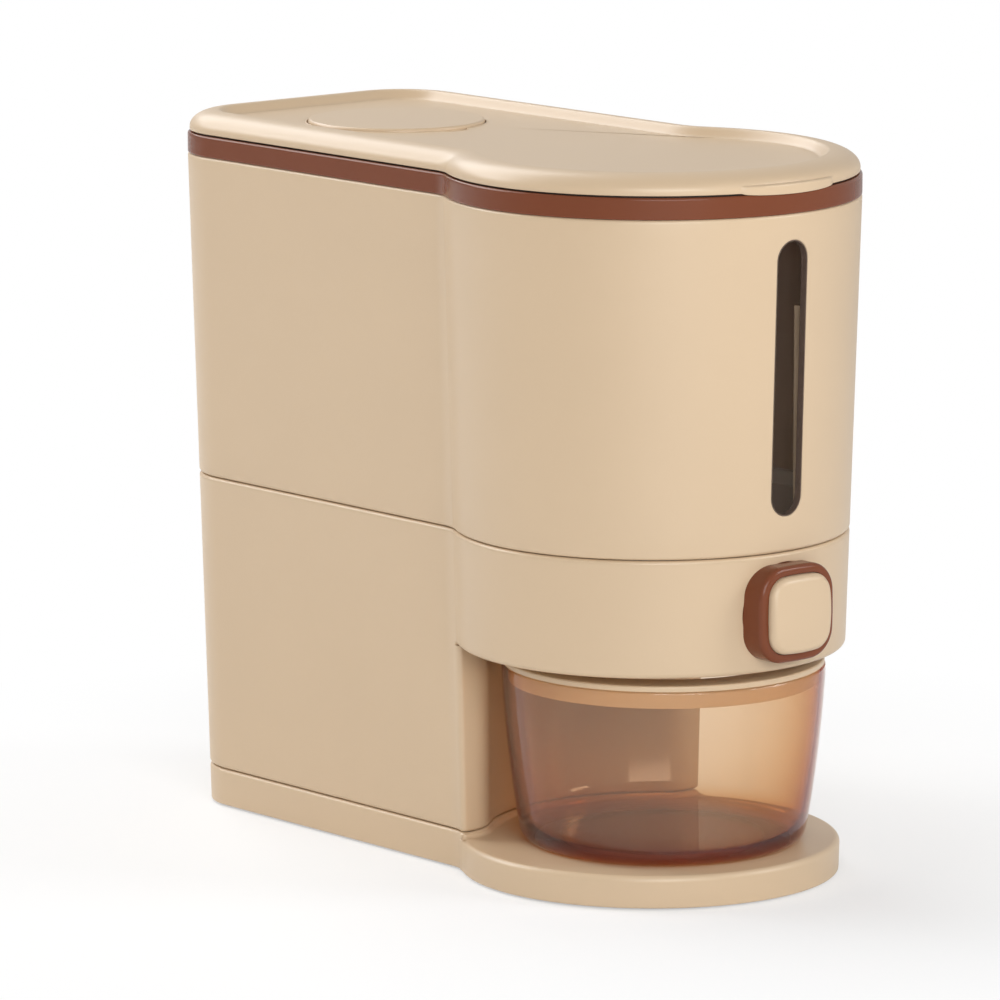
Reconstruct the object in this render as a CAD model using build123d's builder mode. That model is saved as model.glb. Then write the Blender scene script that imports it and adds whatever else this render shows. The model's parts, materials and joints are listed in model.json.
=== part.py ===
from build123d import *
import os
from math import sqrt

# Countertop rice dispenser: a keyhole-shaped bin over a hopper with a push-button gate and a cup.
# Millimetres, +Z up, front towards -Y. The origin is on the floor under the middle of the whole length.

# Body outline seen from above, at the band under the lid
body_length = 340.0
drum_width = 180.0
neck_step = 15.0
rear_corner_radius = 37.0
neck_radius = 20.5
wall_lean_share = 0.029

# Levels of the body
body_height = 315.0
lid_rise = 8.3
lid_gap = 1.2
band_height = 9.2
overhang_height = 100.4
overhang_depth = 51.1
tray_height = 15.0
skirt_step = 2.7
foot_proud = 1.0

# Walls, clearances and seams
shell_wall = 2.6
bin_wall = 3.0
seam_rounding = 0.9
overhang_rounding = 3.5
fit_gap = 0.2
running_gap = 0.3
overrun = 4.0

# Column and base
horn_width = 11.8
horn_rounding = 3.0
horn_bay_rounding = 20.0
bay_clearance = 5.8
tray_proud = 0.8
tray_rounding = 2.6
base_wall = 2.6
rim_height = 4.0
rim_wall = 1.8
foot_radius = 8.0
foot_height = 3.5
foot_side_margin = 11.0
foot_end_margin = 30.0
base_boss_radius = 6.0
base_boss_height = 14.0
base_screw_rear_margin = 60.0
base_screw_neck_margin = 14.4
pad_wall = 2.0

# Screws
screw_radius = 1.5
screw_head_radius = 2.9
screw_head_height = 1.9
screw_length = 14.0
screw_hole_gap = 0.25
thread_gap = 0.05

# Bin and its screws
bin_boss_radius = 4.6
bin_boss_height = 12.0
bin_ear_height = 6.0
bin_screw_rear_margin = 40.0
bin_screw_neck_margin = 34.4

# Band under the lid
band_skirt_drop = 6.0
band_skirt_gap = 0.5
band_skirt_wall = 1.8
band_rounding = 1.0

# Window
window_width = 16.4
window_base_margin = 15.5
window_top_margin = 11.3
lens_recess = 1.6
lens_wall = 2.0
lens_flange = 2.8
gasket_wall = 0.8
window_rib_depth = 5.7
window_rib_drop = 30.0
window_rib_wall = 2.4
window_lip = 0.7

# Hopper floor and throat
throat_width = 34.0
throat_length = 11.0
throat_height = 12.0
hopper_wall = 2.6
hopper_lip = 6.0
hopper_lip_wall = 2.0
rear_slope_share = 0.35
front_slope_share = 0.22
side_slope_share = 0.30
throat_wall = 2.5
throat_flange_wall = 6.0
wiper_margin = 1.0
wiper_wall = 1.6
wiper_height = 2.0
wiper_gap = 0.1

# Gate, guide and spring
gate_wall = 3.0
gate_lap = 9.0
gate_side_lap = 7.0
gate_closed_lap = 2.0
stem_width = 14.0
stem_socket = 10.0
guide_floor = 5.0
guide_side = 16.0
guide_front = 2.0
spring_room = 32.0
spring_radius = 4.4
spring_wire = 0.9
spring_turns = 9
spring_side = 1.5
spring_plate_wall = 3.0
spring_pin_radius = 3.0
spring_pin_length = 7.0
seat_pin_length = 3.0
seat_wall = 6.0

# Outlet spout
spout_wall = 2.0
spout_drop = 1.0
spout_flange = 6.0
spout_flange_wall = 2.2
spout_flare = 3.0

# Button and bezel
button_proud = 9.0
bezel_width = 42.0
bezel_low_margin = 5.2
bezel_top_margin = 4.3
bezel_corner = 13.0
bezel_bulge = 1.0
bezel_ring = 3.7
bezel_rounding = 2.2
bezel_setback = 5.0
bezel_flange = 2.2
bezel_flange_wall = 2.4
bezel_key_width = 9.0
bezel_key_rise = 1.4
cap_gap = 0.3
cap_wall = 2.2
cap_face_wall = 2.8
cap_dome_radius = 92.0
cap_rounding = 3.2
cap_flange = 1.6
cap_flange_wall = 2.0
cap_boss_side = 3.0

# Lid
lid_edge_inset = 0.9
lid_edge_land = 1.0
lid_crest_inset = 13.7
lid_wall = 2.3
lid_recess_drop = 3.9
lid_recess_inset = 19.0
lid_plug_drop = 6.0
lid_plug_gap = 0.5
lid_plug_wall = 1.8
lid_seal_inset = 2.4
lip_width = 52.0
lip_proud = 2.0
lip_height = 2.8
lip_rounding = 1.2

# Round cap in the lid and its moisture basket
vent_radius = 39.4
vent_gap = 0.6
vent_rear_margin = 79.3
vent_proud = 0.7
vent_wall = 3.0
vent_rounding = 1.4
vent_ledge_wall = 2.0
vent_ledge_reach = 3.4
vent_well_wall = 2.0
vent_skirt_drop = 2.0
vent_skirt_wall = 2.4
vent_seal_height = 2.0
notch_width = 15.0
notch_reach = 3.2
notch_depth = 1.5
basket_depth = 20.0
basket_wall = 1.5
basket_hole_radius = 1.6
basket_hole_pitch = 8.0
basket_slot_width = 3.0
basket_slot_length = 8.0
basket_slot_margin = 3.0
basket_slots = 12

# Cup and its collar
cup_offset = 8.6
cup_drum_margin = 20.0
cup_mid_draw = 2.7
cup_foot_draw = 8.7
cup_top_clearance = 4.6
cup_wall = 2.3
cup_floor = 5.4
cup_foot_rounding = 7.0
cup_inner_rounding = 9.0
cup_foot_ring = 17.3
cup_recess_depth = 2.0
cup_straight = 5.2
cup_mid_share = 0.56
cup_rim_rounding = 0.7
collar_wall = 2.4
collar_gap = 0.4
collar_skirt_drop = 7.3
collar_skirt_wall = 2.0
collar_skirt_gap = 0.6
collar_rim_width = 16.0
collar_mouth_drop = 5.0
collar_inset = 0.4
collar_rounding = 0.8

# Places that follow from the sizes above
drum_radius = drum_width / 2
rear_width = drum_width - 2 * neck_step
rear_y = (body_length + button_proud) / 2
drum_y = rear_y - body_length + drum_radius
front_y = drum_y - drum_radius
neck_y = drum_y + sqrt((drum_radius + neck_radius) ** 2 - (rear_width / 2 + neck_radius) ** 2)
lid_edge = body_height - lid_rise
band_top = lid_edge - lid_gap
band_base = band_top - band_height
part_line = overhang_height + overhang_depth
skirt_top = tray_height + skirt_step
cup_y = drum_y - cup_offset
cup_rim_radius = drum_radius - cup_drum_margin
cup_mid_radius = cup_rim_radius - cup_mid_draw
cup_foot_radius = cup_rim_radius - cup_foot_draw
cup_recess_radius = cup_foot_radius - cup_foot_ring
collar_mouth_radius = cup_rim_radius - collar_rim_width
bay_radius = cup_rim_radius + bay_clearance
whole = body_length + body_height
quarter_turn = 90.0
straight_up = (Align.CENTER, Align.CENTER, Align.MIN)
hanging = (Align.CENTER, Align.CENTER, Align.MAX)

os.makedirs("parts", exist_ok=True)


def lean(level):
    """How far the outer wall has leaned in at a level, measured from the band."""
    return wall_lean_share * (band_base - level)


def keyhole(inset, level):
    """The body's outline at a level: a rounded rear block that necks in to a round drum."""
    half = rear_width / 2 - inset
    radius = drum_radius - inset
    corner = rear_corner_radius - inset
    neck = neck_radius + inset
    rear = rear_y - inset
    drum_share = radius / (radius + neck)
    meet_x = drum_share * (half + neck)
    meet_y = drum_y + drum_share * (neck_y - drum_y)
    with BuildSketch(Plane.XY.offset(level)) as outline:
        with BuildLine():
            Line((corner - half, rear), (half - corner, rear))
            TangentArc((half - corner, rear), (half, rear - corner), tangent=(1, 0))
            Line((half, rear - corner), (half, neck_y))
            TangentArc((half, neck_y), (meet_x, meet_y), tangent=(0, -1))
            ThreePointArc((meet_x, meet_y), (0, drum_y - radius), (-meet_x, meet_y))
            TangentArc((-half, neck_y), (-meet_x, meet_y), tangent=(0, -1))
            Line((-half, neck_y), (-half, rear - corner))
            TangentArc((corner - half, rear), (-half, rear - corner), tangent=(-1, 0))
        make_face()
    return outline.sketch


def leaning_walls(margin, low, high, mode=Mode.ADD):
    """A keyhole block between two levels whose sides lean as the body does, drawn in by a margin."""
    loft(
        [keyhole(lean(low) + margin, low), keyhole(lean(high) + margin, high)],
        ruled=True,
        mode=mode,
    )


def column_block(margin, low, high):
    """The column's plan between two levels: the rear block, hollowed in front to go round the cup."""
    with BuildPart() as block:
        leaning_walls(margin, low, high)
        with Locations((0, column_front + margin, low)):
            Box(whole, whole, high - low, align=(Align.CENTER, Align.MAX, Align.MIN), mode=Mode.SUBTRACT)
        with Locations((0, cup_y, low)):
            Cylinder(bay_radius + margin, high - low, align=straight_up, mode=Mode.SUBTRACT)
        fronts = block.faces().filter_by(Axis.Y).filter_by_position(
            Axis.Y, column_front - fit_gap, column_front + margin + fit_gap
        )
        upright = [face.edges().sort_by(Axis.Z)[1:3] for face in fronts]
        bay_edges = [min(pair, key=lambda edge: abs(edge.center().X)) for pair in upright]
        fillet(bay_edges, horn_bay_rounding - margin)
        fronts = block.faces().filter_by(Axis.Y).filter_by_position(
            Axis.Y, column_front - fit_gap, column_front + margin + fit_gap
        )
        upright = [face.edges().sort_by(Axis.Z)[1:3] for face in fronts]
        side_edges = [max(pair, key=lambda edge: abs(edge.center().X)) for pair in upright]
        fillet(side_edges, horn_rounding - margin / 2)
    return block.part


def facing_front(y, z):
    """A plane at a depth and a height that looks out of the front of the body."""
    return Plane((0, y, z), x_dir=(1, 0, 0), z_dir=(0, -1, 0))


def soft_square(grow, y):
    """The bezel's outline, grown by a rim: rounded corners and slightly swelling sides, at a depth."""
    x = bezel_width / 2 + grow
    z = bezel_height / 2 + grow
    with BuildSketch(facing_front(y, button_z)) as face:
        with BuildLine():
            ThreePointArc((bezel_bulge - x, bezel_bulge - z), (0, -z), (x - bezel_bulge, bezel_bulge - z))
            ThreePointArc((x - bezel_bulge, bezel_bulge - z), (x, 0), (x - bezel_bulge, z - bezel_bulge))
            ThreePointArc((x - bezel_bulge, z - bezel_bulge), (0, z), (bezel_bulge - x, z - bezel_bulge))
            ThreePointArc((bezel_bulge - x, z - bezel_bulge), (-x, 0), (bezel_bulge - x, bezel_bulge - z))
        make_face()
        fillet(face.vertices(), bezel_corner + grow)
    return face.sketch


def bezel_outline(grow):
    """The bezel's outline at its rear end, grown by a rim."""
    return soft_square(grow, bezel_rear)


def cap_outline(grow):
    """The button cap's outline at its rear end, grown by a rim."""
    return soft_square(grow - bezel_ring - cap_gap, cap_rear)


def corner_near(sketch, x, y):
    """The corner of a sketch that lies nearest to a point."""
    return sketch.vertices().sort_by_distance((x, y, 0))[0]


def screw_group(places):
    """Pan-head screws driven upwards, at a list of points where their heads meet a face."""
    with BuildPart() as group:
        with Locations(*places):
            Cylinder(screw_radius, screw_length, align=straight_up)
            Cylinder(screw_head_radius, screw_head_height, align=hanging)
    return group.part


def window_prism(grow):
    """A tall round-ended bar through the front of the drum, larger than the window slot by a rim."""
    with BuildPart() as prism:
        with BuildSketch(facing_front(drum_y, window_middle)):
            SlotOverall(window_height + 2 * grow, window_width + 2 * grow, rotation=quarter_turn)
        extrude(amount=drum_radius + overrun)
    return prism.part


def wall_patch(outer_margin, inner_margin, grow):
    """The layer of the leaning drum wall between two depths, inside the grown window outline."""
    with BuildPart() as patch:
        leaning_walls(outer_margin, part_line, band_base)
        leaning_walls(inner_margin, part_line, band_base, mode=Mode.SUBTRACT)
        add(window_prism(grow), mode=Mode.INTERSECT)
    return patch.part


def window_rib(side):
    """An upright rib on the inside of the drum, beside the window lens."""
    with BuildPart() as rib:
        leaning_walls(bin_wall / 2, window_base, window_base + window_rib_height)
        with Locations((side * window_rib_x, front_y, window_base)):
            Box(
                window_rib_wall,
                lean(window_base) + bin_wall + window_rib_depth,
                window_rib_height,
                align=(Align.CENTER, Align.MIN, Align.MIN),
                mode=Mode.INTERSECT,
            )
    return rib.part


def slot_edges(shell):
    """The edges round the window slot on the outer face of a shell."""
    near = front_y + lean(window_base) + bin_wall / 2
    edges = shell.edges().filter_by(lambda edge: abs(edge.center().X) < window_width / 2 + fit_gap)
    edges = edges.filter_by(lambda edge: edge.center().Y < near)
    return edges.filter_by(lambda edge: abs(edge.center().Z - window_middle) < window_height / 2 + fit_gap)


def wiper_ring(level):
    """The outline of the soft ring round the throat, at a level."""
    inner = wiper_margin
    outer = wiper_margin + wiper_wall
    with BuildSketch(Plane.XY.offset(level)) as ring:
        with Locations((0, cup_y)):
            Rectangle(throat_width + 2 * outer, throat_length + 2 * outer)
            Rectangle(throat_width + 2 * inner, throat_length + 2 * inner, mode=Mode.SUBTRACT)
    return ring.sketch


def funnel(lift):
    """Everything above the hopper's sloping faces, with those faces raised by a lift."""
    low_y = cup_y - throat_length / 2
    high_y = cup_y + throat_length / 2
    rise = hopper_rise
    wide = throat_width + 2 * rise / side_slope_share
    far_front = low_y - rise / front_slope_share
    far_rear = high_y + rise / rear_slope_share
    with BuildPart() as space:
        with BuildSketch(Plane.XY.offset(hopper_low + lift)):
            with Locations((0, cup_y)):
                Rectangle(throat_width, throat_length)
        with BuildSketch(Plane.XY.offset(hopper_low + lift + rise)):
            with Locations((0, (far_front + far_rear) / 2)):
                Rectangle(wide, far_rear - far_front)
        loft(ruled=True)
    return space.part


# Heights and places of the column and the mechanism
horn_x = rear_width / 2 - lean(skirt_top) - horn_width
column_front = cup_y + sqrt(bay_radius**2 - horn_x**2)
bezel_height = overhang_depth - bezel_low_margin - bezel_top_margin
button_z = overhang_height + bezel_low_margin + bezel_height / 2
window_base = part_line + window_base_margin
window_height = band_base - window_top_margin - window_base
window_middle = window_base + window_height / 2
window_rib_height = window_height - window_rib_drop
window_rib_x = window_width / 2 + lens_flange + fit_gap + window_rib_wall / 2
gate_low = button_z - gate_wall / 2
gate_top = button_z + gate_wall / 2
throat_base = gate_top + running_gap
hopper_low = throat_base + throat_height
hopper_rise = rear_slope_share * body_length
gate_stroke = throat_length + gate_closed_lap
gate_front = cup_y - gate_stroke - throat_length / 2 - gate_lap
gate_rear = cup_y + throat_length / 2 + gate_lap
gate_width = throat_width + 2 * gate_side_lap
guide_top = throat_base
guide_base = gate_low - running_gap - guide_floor
guide_width = gate_width + 2 * running_gap + 2 * guide_side
guide_front_y = gate_front - guide_front
flange_rear = gate_rear - spring_plate_wall - 2 * running_gap
seat_y = gate_rear + spring_room
guide_screw_x = guide_width / 2 - guide_side / 2
guide_screw_places = [
    (x, y, guide_base)
    for x in (-guide_screw_x, guide_screw_x)
    for y in (gate_front + guide_side / 2, flange_rear - guide_side / 2)
]
ceiling = tray_height - base_wall
rim_margin = shell_wall + fit_gap
base_screw_x = rear_width / 2 - lean(skirt_top) - shell_wall / 2 - base_boss_radius
base_screw_spots = [
    (x, y)
    for x in (-base_screw_x, base_screw_x)
    for y in (rear_y - base_screw_rear_margin, neck_y + base_screw_neck_margin)
]
bin_screw_x = rear_width / 2 - lean(part_line) - bin_wall / 2 - bin_boss_radius
bin_screw_spots = [
    (x, y)
    for x in (-bin_screw_x, bin_screw_x)
    for y in (rear_y - bin_screw_rear_margin, neck_y + bin_screw_neck_margin)
]
foot_x = rear_width / 2 - lean(0) - base_wall - foot_side_margin
foot_spots = [
    (x, y)
    for x in (-foot_x, foot_x)
    for y in (rear_y - lean(0) - foot_end_margin, drum_y - drum_radius / 2)
]

cap_front = -rear_y
bezel_front = cap_front + bezel_setback
drum_inner = drum_radius - lean(button_z) - shell_wall
bezel_seat = drum_y - sqrt(drum_inner**2 - (bezel_width / 2 + bezel_flange) ** 2) + fit_gap
bezel_rear = bezel_seat + bezel_flange_wall
cap_seat = bezel_rear + fit_gap
cap_rear = cap_seat + cap_flange_wall
spout_width = throat_width + 2 * spout_flare
spout_length = throat_length + 2 * spout_flare
spout_top = guide_base - fit_gap
spout_base = overhang_height - spout_drop
band_wall = bin_wall + band_skirt_gap + band_skirt_wall
lid_land = lid_edge + lid_edge_land
lid_plug_inset = band_wall + lid_plug_gap
recess_top = body_height - lid_recess_drop
vent_y = rear_y - vent_rear_margin
vent_top = recess_top + vent_proud
vent_under = vent_top - vent_wall
ledge_top = vent_under - vent_seal_height
ledge_base = ledge_top - vent_ledge_wall
ledge_radius = vent_radius + vent_gap - vent_ledge_reach
vent_skirt_radius = ledge_radius - running_gap
basket_radius = vent_skirt_radius - vent_skirt_wall - fit_gap
collar_top = overhang_height - cup_top_clearance
cup_rim = collar_top - collar_wall - collar_gap
cup_axis = Axis((0, cup_y, 0), (0, 0, 1))

# Base: a hollow tray under the cup, with a low step that the column stands on
with BuildPart() as tray:
    leaning_walls(-tray_proud, foot_proud, tray_height)
    fillet(tray.edges().group_by(Axis.Z)[-1], tray_rounding)
    with Locations((0, neck_y, 0)):
        Box(whole, whole, whole, align=(Align.CENTER, Align.MIN, Align.MIN), mode=Mode.SUBTRACT)

with BuildPart() as base:
    leaning_walls(0, foot_proud, tray_height)
    with Locations((0, neck_y, 0)):
        Box(whole, whole, whole, align=(Align.CENTER, Align.MAX, Align.MIN), mode=Mode.SUBTRACT)
    add(tray.part)
    add(column_block(0, tray_height - tray_rounding, skirt_top))
    leaning_walls(base_wall, foot_proud - overrun, ceiling, mode=Mode.SUBTRACT)
    with Locations(*[(x, y, ceiling) for x, y in foot_spots]):
        Cylinder(foot_radius + pad_wall, ceiling - foot_proud, align=hanging)
    with Locations(*[(x, y, 0) for x, y in foot_spots]):
        Cylinder(foot_radius + fit_gap, foot_height, align=straight_up, mode=Mode.SUBTRACT)
    add(column_block(rim_margin, skirt_top, skirt_top + rim_height))
    add(column_block(rim_margin + rim_wall, skirt_top, skirt_top + rim_height), mode=Mode.SUBTRACT)
    with Locations(*[(x, y, skirt_top) for x, y in base_screw_spots]):
        Cylinder(base_boss_radius + fit_gap, rim_height, align=straight_up, mode=Mode.SUBTRACT)
    with Locations(*[(x, y, 0) for x, y in base_screw_spots]):
        Cylinder(screw_radius + screw_hole_gap, skirt_top, align=straight_up, mode=Mode.SUBTRACT)
base.part.label = "base"
export_step(base.part, "parts/base.step")

# Rubber feet, pressed into the pads under the base
with BuildPart() as rubber_feet:
    with Locations(*[(x, y, 0) for x, y in foot_spots]):
        Cylinder(foot_radius, foot_height, align=straight_up)
    fillet(rubber_feet.edges().group_by(Axis.Z)[0], foot_proud / 2)
rubber_feet.part.label = "rubber_feet"
export_step(rubber_feet.part, "parts/rubber_feet.step")

base_screws = screw_group([(x, y, ceiling) for x, y in base_screw_spots])
base_screws.label = "base_screws"
export_step(base_screws, "parts/base_screws.step")

# Lower housing: a hollow column that carries a hollow overhang above the cup
with BuildPart() as lower_housing:
    leaning_walls(0, overhang_height, part_line)
    fillet(lower_housing.edges().group_by(Axis.Z)[0], overhang_rounding)
    fillet(lower_housing.edges().group_by(Axis.Z)[-1], seam_rounding)
    add(column_block(0, skirt_top, button_z))
    add(column_block(shell_wall, skirt_top - overrun, button_z), mode=Mode.SUBTRACT)
    leaning_walls(shell_wall, overhang_height + shell_wall, part_line + overrun, mode=Mode.SUBTRACT)
    with Locations(*[(x, y, skirt_top) for x, y in base_screw_spots]):
        Cylinder(base_boss_radius, base_boss_height, align=straight_up)
        Cylinder(screw_radius + thread_gap, base_boss_height, align=straight_up, mode=Mode.SUBTRACT)
    with Locations(*[(x, y, part_line) for x, y in bin_screw_spots]):
        Cylinder(bin_boss_radius, bin_ear_height, align=hanging)
        Cylinder(screw_radius + screw_hole_gap, bin_ear_height, align=hanging, mode=Mode.SUBTRACT)
    with BuildSketch(Plane.XY.offset(overhang_height)):
        with Locations((0, cup_y)):
            Rectangle(spout_width + 2 * (spout_wall + fit_gap), spout_length + 2 * (spout_wall + fit_gap))
    extrude(amount=shell_wall, mode=Mode.SUBTRACT)
    extrude(bezel_outline(fit_gap), amount=bezel_rear - front_y, mode=Mode.SUBTRACT)
    with BuildSketch(facing_front(bezel_rear, button_z + bezel_height / 2)):
        Rectangle(bezel_key_width + 2 * fit_gap, 2 * (bezel_key_rise + fit_gap))
    extrude(amount=bezel_rear - front_y, mode=Mode.SUBTRACT)
lower_housing.part.label = "lower_housing"
export_step(lower_housing.part, "parts/lower_housing.step")

# Upper bin: the leaning shell that holds the rice, with the window slot in its front
with BuildPart() as upper_bin:
    leaning_walls(0, part_line, band_base)
    fillet(upper_bin.edges().group_by(Axis.Z)[0], seam_rounding)
    fillet(upper_bin.edges().group_by(Axis.Z)[-1], seam_rounding)
    leaning_walls(bin_wall, part_line - overrun, band_base + overrun, mode=Mode.SUBTRACT)
    with Locations(*[(x, y, part_line) for x, y in bin_screw_spots]):
        Cylinder(bin_boss_radius, bin_boss_height, align=straight_up)
        Cylinder(screw_radius + thread_gap, bin_boss_height, align=straight_up, mode=Mode.SUBTRACT)
    add(window_rib(-1))
    add(window_rib(1))
    add(window_prism(0), mode=Mode.SUBTRACT)
    fillet(slot_edges(upper_bin), window_lip)
upper_bin.part.label = "upper_bin"
export_step(upper_bin.part, "parts/upper_bin.step")

bin_screws = screw_group([(x, y, part_line - bin_ear_height) for x, y in bin_screw_spots])
bin_screws.label = "bin_screws"
export_step(bin_screws, "parts/bin_screws.step")

# Hopper floor: four slopes that run down to a throat, with a lip along the bin's wall and a flange below
with BuildPart() as hopper_space:
    leaning_walls(bin_wall + fit_gap + hopper_lip_wall, hopper_low - hopper_wall, hopper_low + hopper_rise)
    add(funnel(0), mode=Mode.INTERSECT)

with BuildPart() as hopper_floor:
    leaning_walls(bin_wall + fit_gap, hopper_low - hopper_wall, hopper_low + hopper_rise)
    add(funnel(-hopper_wall), mode=Mode.INTERSECT)
    add(hopper_space.part, mode=Mode.SUBTRACT)
    add(funnel(hopper_lip), mode=Mode.SUBTRACT)
    with Locations((0, cup_y, throat_base)):
        Box(
            throat_width + 2 * throat_wall,
            throat_length + 2 * throat_wall,
            throat_height,
            align=straight_up,
        )
    with Locations((0, guide_front_y, throat_base)):
        Box(
            guide_width,
            flange_rear - guide_front_y,
            throat_flange_wall,
            align=(Align.CENTER, Align.MIN, Align.MIN),
        )
    with Locations((0, cup_y, throat_base)):
        Box(throat_width, throat_length, 2 * throat_height, align=straight_up, mode=Mode.SUBTRACT)
    extrude(wiper_ring(throat_base), amount=wiper_height - running_gap + wiper_gap, mode=Mode.SUBTRACT)
    with Locations(*[(x, y, throat_base) for x, y, _ in guide_screw_places]):
        Cylinder(screw_radius + thread_gap, throat_flange_wall, align=straight_up, mode=Mode.SUBTRACT)
hopper_floor.part.label = "hopper_floor"
export_step(hopper_floor.part, "parts/hopper_floor.step")

# Wiper: a soft ring round the throat that brushes the gate
with BuildPart() as throat_wiper:
    extrude(wiper_ring(gate_top + wiper_gap), amount=wiper_height)
throat_wiper.part.label = "throat_wiper"
export_step(throat_wiper.part, "parts/throat_wiper.step")

# Gate: a sliding plate with a slot, a stem towards the button and a plate that the spring pushes
with BuildPart() as gate:
    with Locations((0, gate_front, gate_low)):
        Box(gate_width, gate_rear - gate_front, gate_wall, align=(Align.CENTER, Align.MIN, Align.MIN))
    with Locations((0, cup_y - gate_stroke, gate_low)):
        Box(throat_width, throat_length, gate_wall, align=straight_up, mode=Mode.SUBTRACT)
    with Locations((0, cap_rear - stem_socket, gate_low)):
        Box(
            stem_width,
            gate_front - cap_rear + stem_socket,
            gate_wall,
            align=(Align.CENTER, Align.MIN, Align.MIN),
        )
    with Locations((0, gate_rear, button_z)):
        Box(
            2 * (spring_radius + spring_side),
            spring_plate_wall,
            2 * (spring_radius + spring_side),
            align=(Align.CENTER, Align.MAX, Align.CENTER),
        )
    with Locations(Plane((0, gate_rear, button_z), z_dir=(0, 1, 0))):
        Cylinder(spring_pin_radius, spring_pin_length, align=straight_up)
gate.part.label = "gate"
export_step(gate.part, "parts/gate.step")

# Gate guide: a channel under the throat that carries the gate, with a seat for the spring behind it
with BuildPart() as gate_guide:
    with Locations((0, guide_front_y, guide_base)):
        Box(
            guide_width,
            seat_y + seat_wall - guide_front_y,
            guide_top - guide_base,
            align=(Align.CENTER, Align.MIN, Align.MIN),
        )
    with Locations((0, guide_front_y, gate_low - running_gap)):
        Box(
            gate_width + 2 * running_gap,
            gate_rear + gate_stroke + running_gap - guide_front_y,
            guide_floor,
            align=(Align.CENTER, Align.MIN, Align.MIN),
            mode=Mode.SUBTRACT,
        )
    with Locations((0, flange_rear, guide_base)):
        Box(
            2 * (spring_radius + spring_side + running_gap),
            seat_y - flange_rear,
            2 * guide_floor,
            align=(Align.CENTER, Align.MIN, Align.MIN),
            mode=Mode.SUBTRACT,
        )
    with Locations((0, cup_y, guide_base)):
        Box(spout_width, spout_length, 2 * guide_floor, align=straight_up, mode=Mode.SUBTRACT)
    with Locations((0, seat_y, guide_base)):
        Box(
            2 * (spring_radius + spring_side),
            seat_wall,
            button_z + spring_radius + spring_side - guide_base,
            align=(Align.CENTER, Align.MIN, Align.MIN),
        )
    with Locations(Plane((0, seat_y, button_z), z_dir=(0, -1, 0))):
        Cylinder(spring_pin_radius, seat_pin_length, align=straight_up)
    with Locations(*guide_screw_places):
        Cylinder(screw_radius + screw_hole_gap, 2 * guide_floor, align=straight_up, mode=Mode.SUBTRACT)
gate_guide.part.label = "gate_guide"
export_step(gate_guide.part, "parts/gate_guide.step")

guide_screws = screw_group(guide_screw_places)
guide_screws.label = "guide_screws"
export_step(guide_screws, "parts/guide_screws.step")

# Return spring between the gate and its seat
coil_radius = spring_radius - spring_wire / 2
coil_length = spring_room - spring_wire - 2 * fit_gap
with BuildPart() as return_spring:
    with BuildLine() as coil:
        Helix(
            coil_length / spring_turns,
            coil_length,
            coil_radius,
            center=(0, gate_rear + fit_gap + spring_wire / 2, button_z),
            direction=(0, 1, 0),
        )
    with BuildSketch(Plane(coil.line @ 0, z_dir=coil.line % 0)):
        Circle(spring_wire / 2)
    sweep(is_frenet=True)
return_spring.part.label = "return_spring"
export_step(return_spring.part, "parts/return_spring.step")

# Outlet spout: a short square pipe from the guide down through the overhang
with BuildPart() as outlet_spout:
    with Locations((0, cup_y, spout_base)):
        Box(
            spout_width + 2 * spout_wall,
            spout_length + 2 * spout_wall,
            spout_top - spout_base,
            align=straight_up,
        )
    with Locations((0, cup_y, overhang_height + shell_wall)):
        Box(
            spout_width + 2 * (spout_wall + spout_flange),
            spout_length + 2 * (spout_wall + spout_flange),
            spout_flange_wall,
            align=straight_up,
        )
    with Locations((0, cup_y, spout_base)):
        Box(spout_width, spout_length, spout_top - spout_base, align=straight_up, mode=Mode.SUBTRACT)
outlet_spout.part.label = "outlet_spout"
export_step(outlet_spout.part, "parts/outlet_spout.step")

# Bezel: the brown collar that the button slides in, keyed into the front wall and held by an inner flange
with BuildPart() as button_bezel:
    extrude(bezel_outline(0), amount=bezel_rear - bezel_front)
    fillet(button_bezel.edges().group_by(Axis.Y)[0], bezel_rounding)
    extrude(bezel_outline(bezel_flange), amount=bezel_flange_wall)
    with BuildSketch(facing_front(bezel_rear, button_z + bezel_height / 2)):
        Rectangle(bezel_key_width, 2 * bezel_key_rise)
    extrude(amount=bezel_rear - drum_y + drum_radius - lean(button_z))
    extrude(bezel_outline(-bezel_ring), amount=bezel_rear - bezel_front, mode=Mode.SUBTRACT)
button_bezel.part.label = "button_bezel"
export_step(button_bezel.part, "parts/button_bezel.step")

# Button cap: a pillowed square face on a hollow skirt, with a socket for the gate's stem
with BuildPart() as button_cap:
    extrude(cap_outline(0), amount=cap_rear - cap_front)
    with Locations((0, cap_front + cap_dome_radius, button_z)):
        Sphere(cap_dome_radius, mode=Mode.INTERSECT)
    fillet(button_cap.faces().sort_by(Axis.Y)[0].edges(), cap_rounding)
    extrude(cap_outline(cap_gap + cap_flange), amount=cap_flange_wall)
    extrude(
        cap_outline(-cap_wall),
        amount=cap_rear - cap_front - cap_rounding - cap_face_wall,
        mode=Mode.SUBTRACT,
    )
    with Locations((0, cap_rear, button_z)):
        Box(
            stem_width + 2 * cap_boss_side,
            cap_rear - cap_front - cap_rounding,
            gate_wall + 2 * cap_boss_side,
            align=(Align.CENTER, Align.MAX, Align.CENTER),
        )
        Box(
            stem_width + 2 * fit_gap,
            stem_socket + fit_gap,
            gate_wall + 2 * fit_gap,
            align=(Align.CENTER, Align.MAX, Align.CENTER),
            mode=Mode.SUBTRACT,
        )
button_cap.part.label = "button_cap"
export_step(button_cap.part, "parts/button_cap.step")

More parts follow.
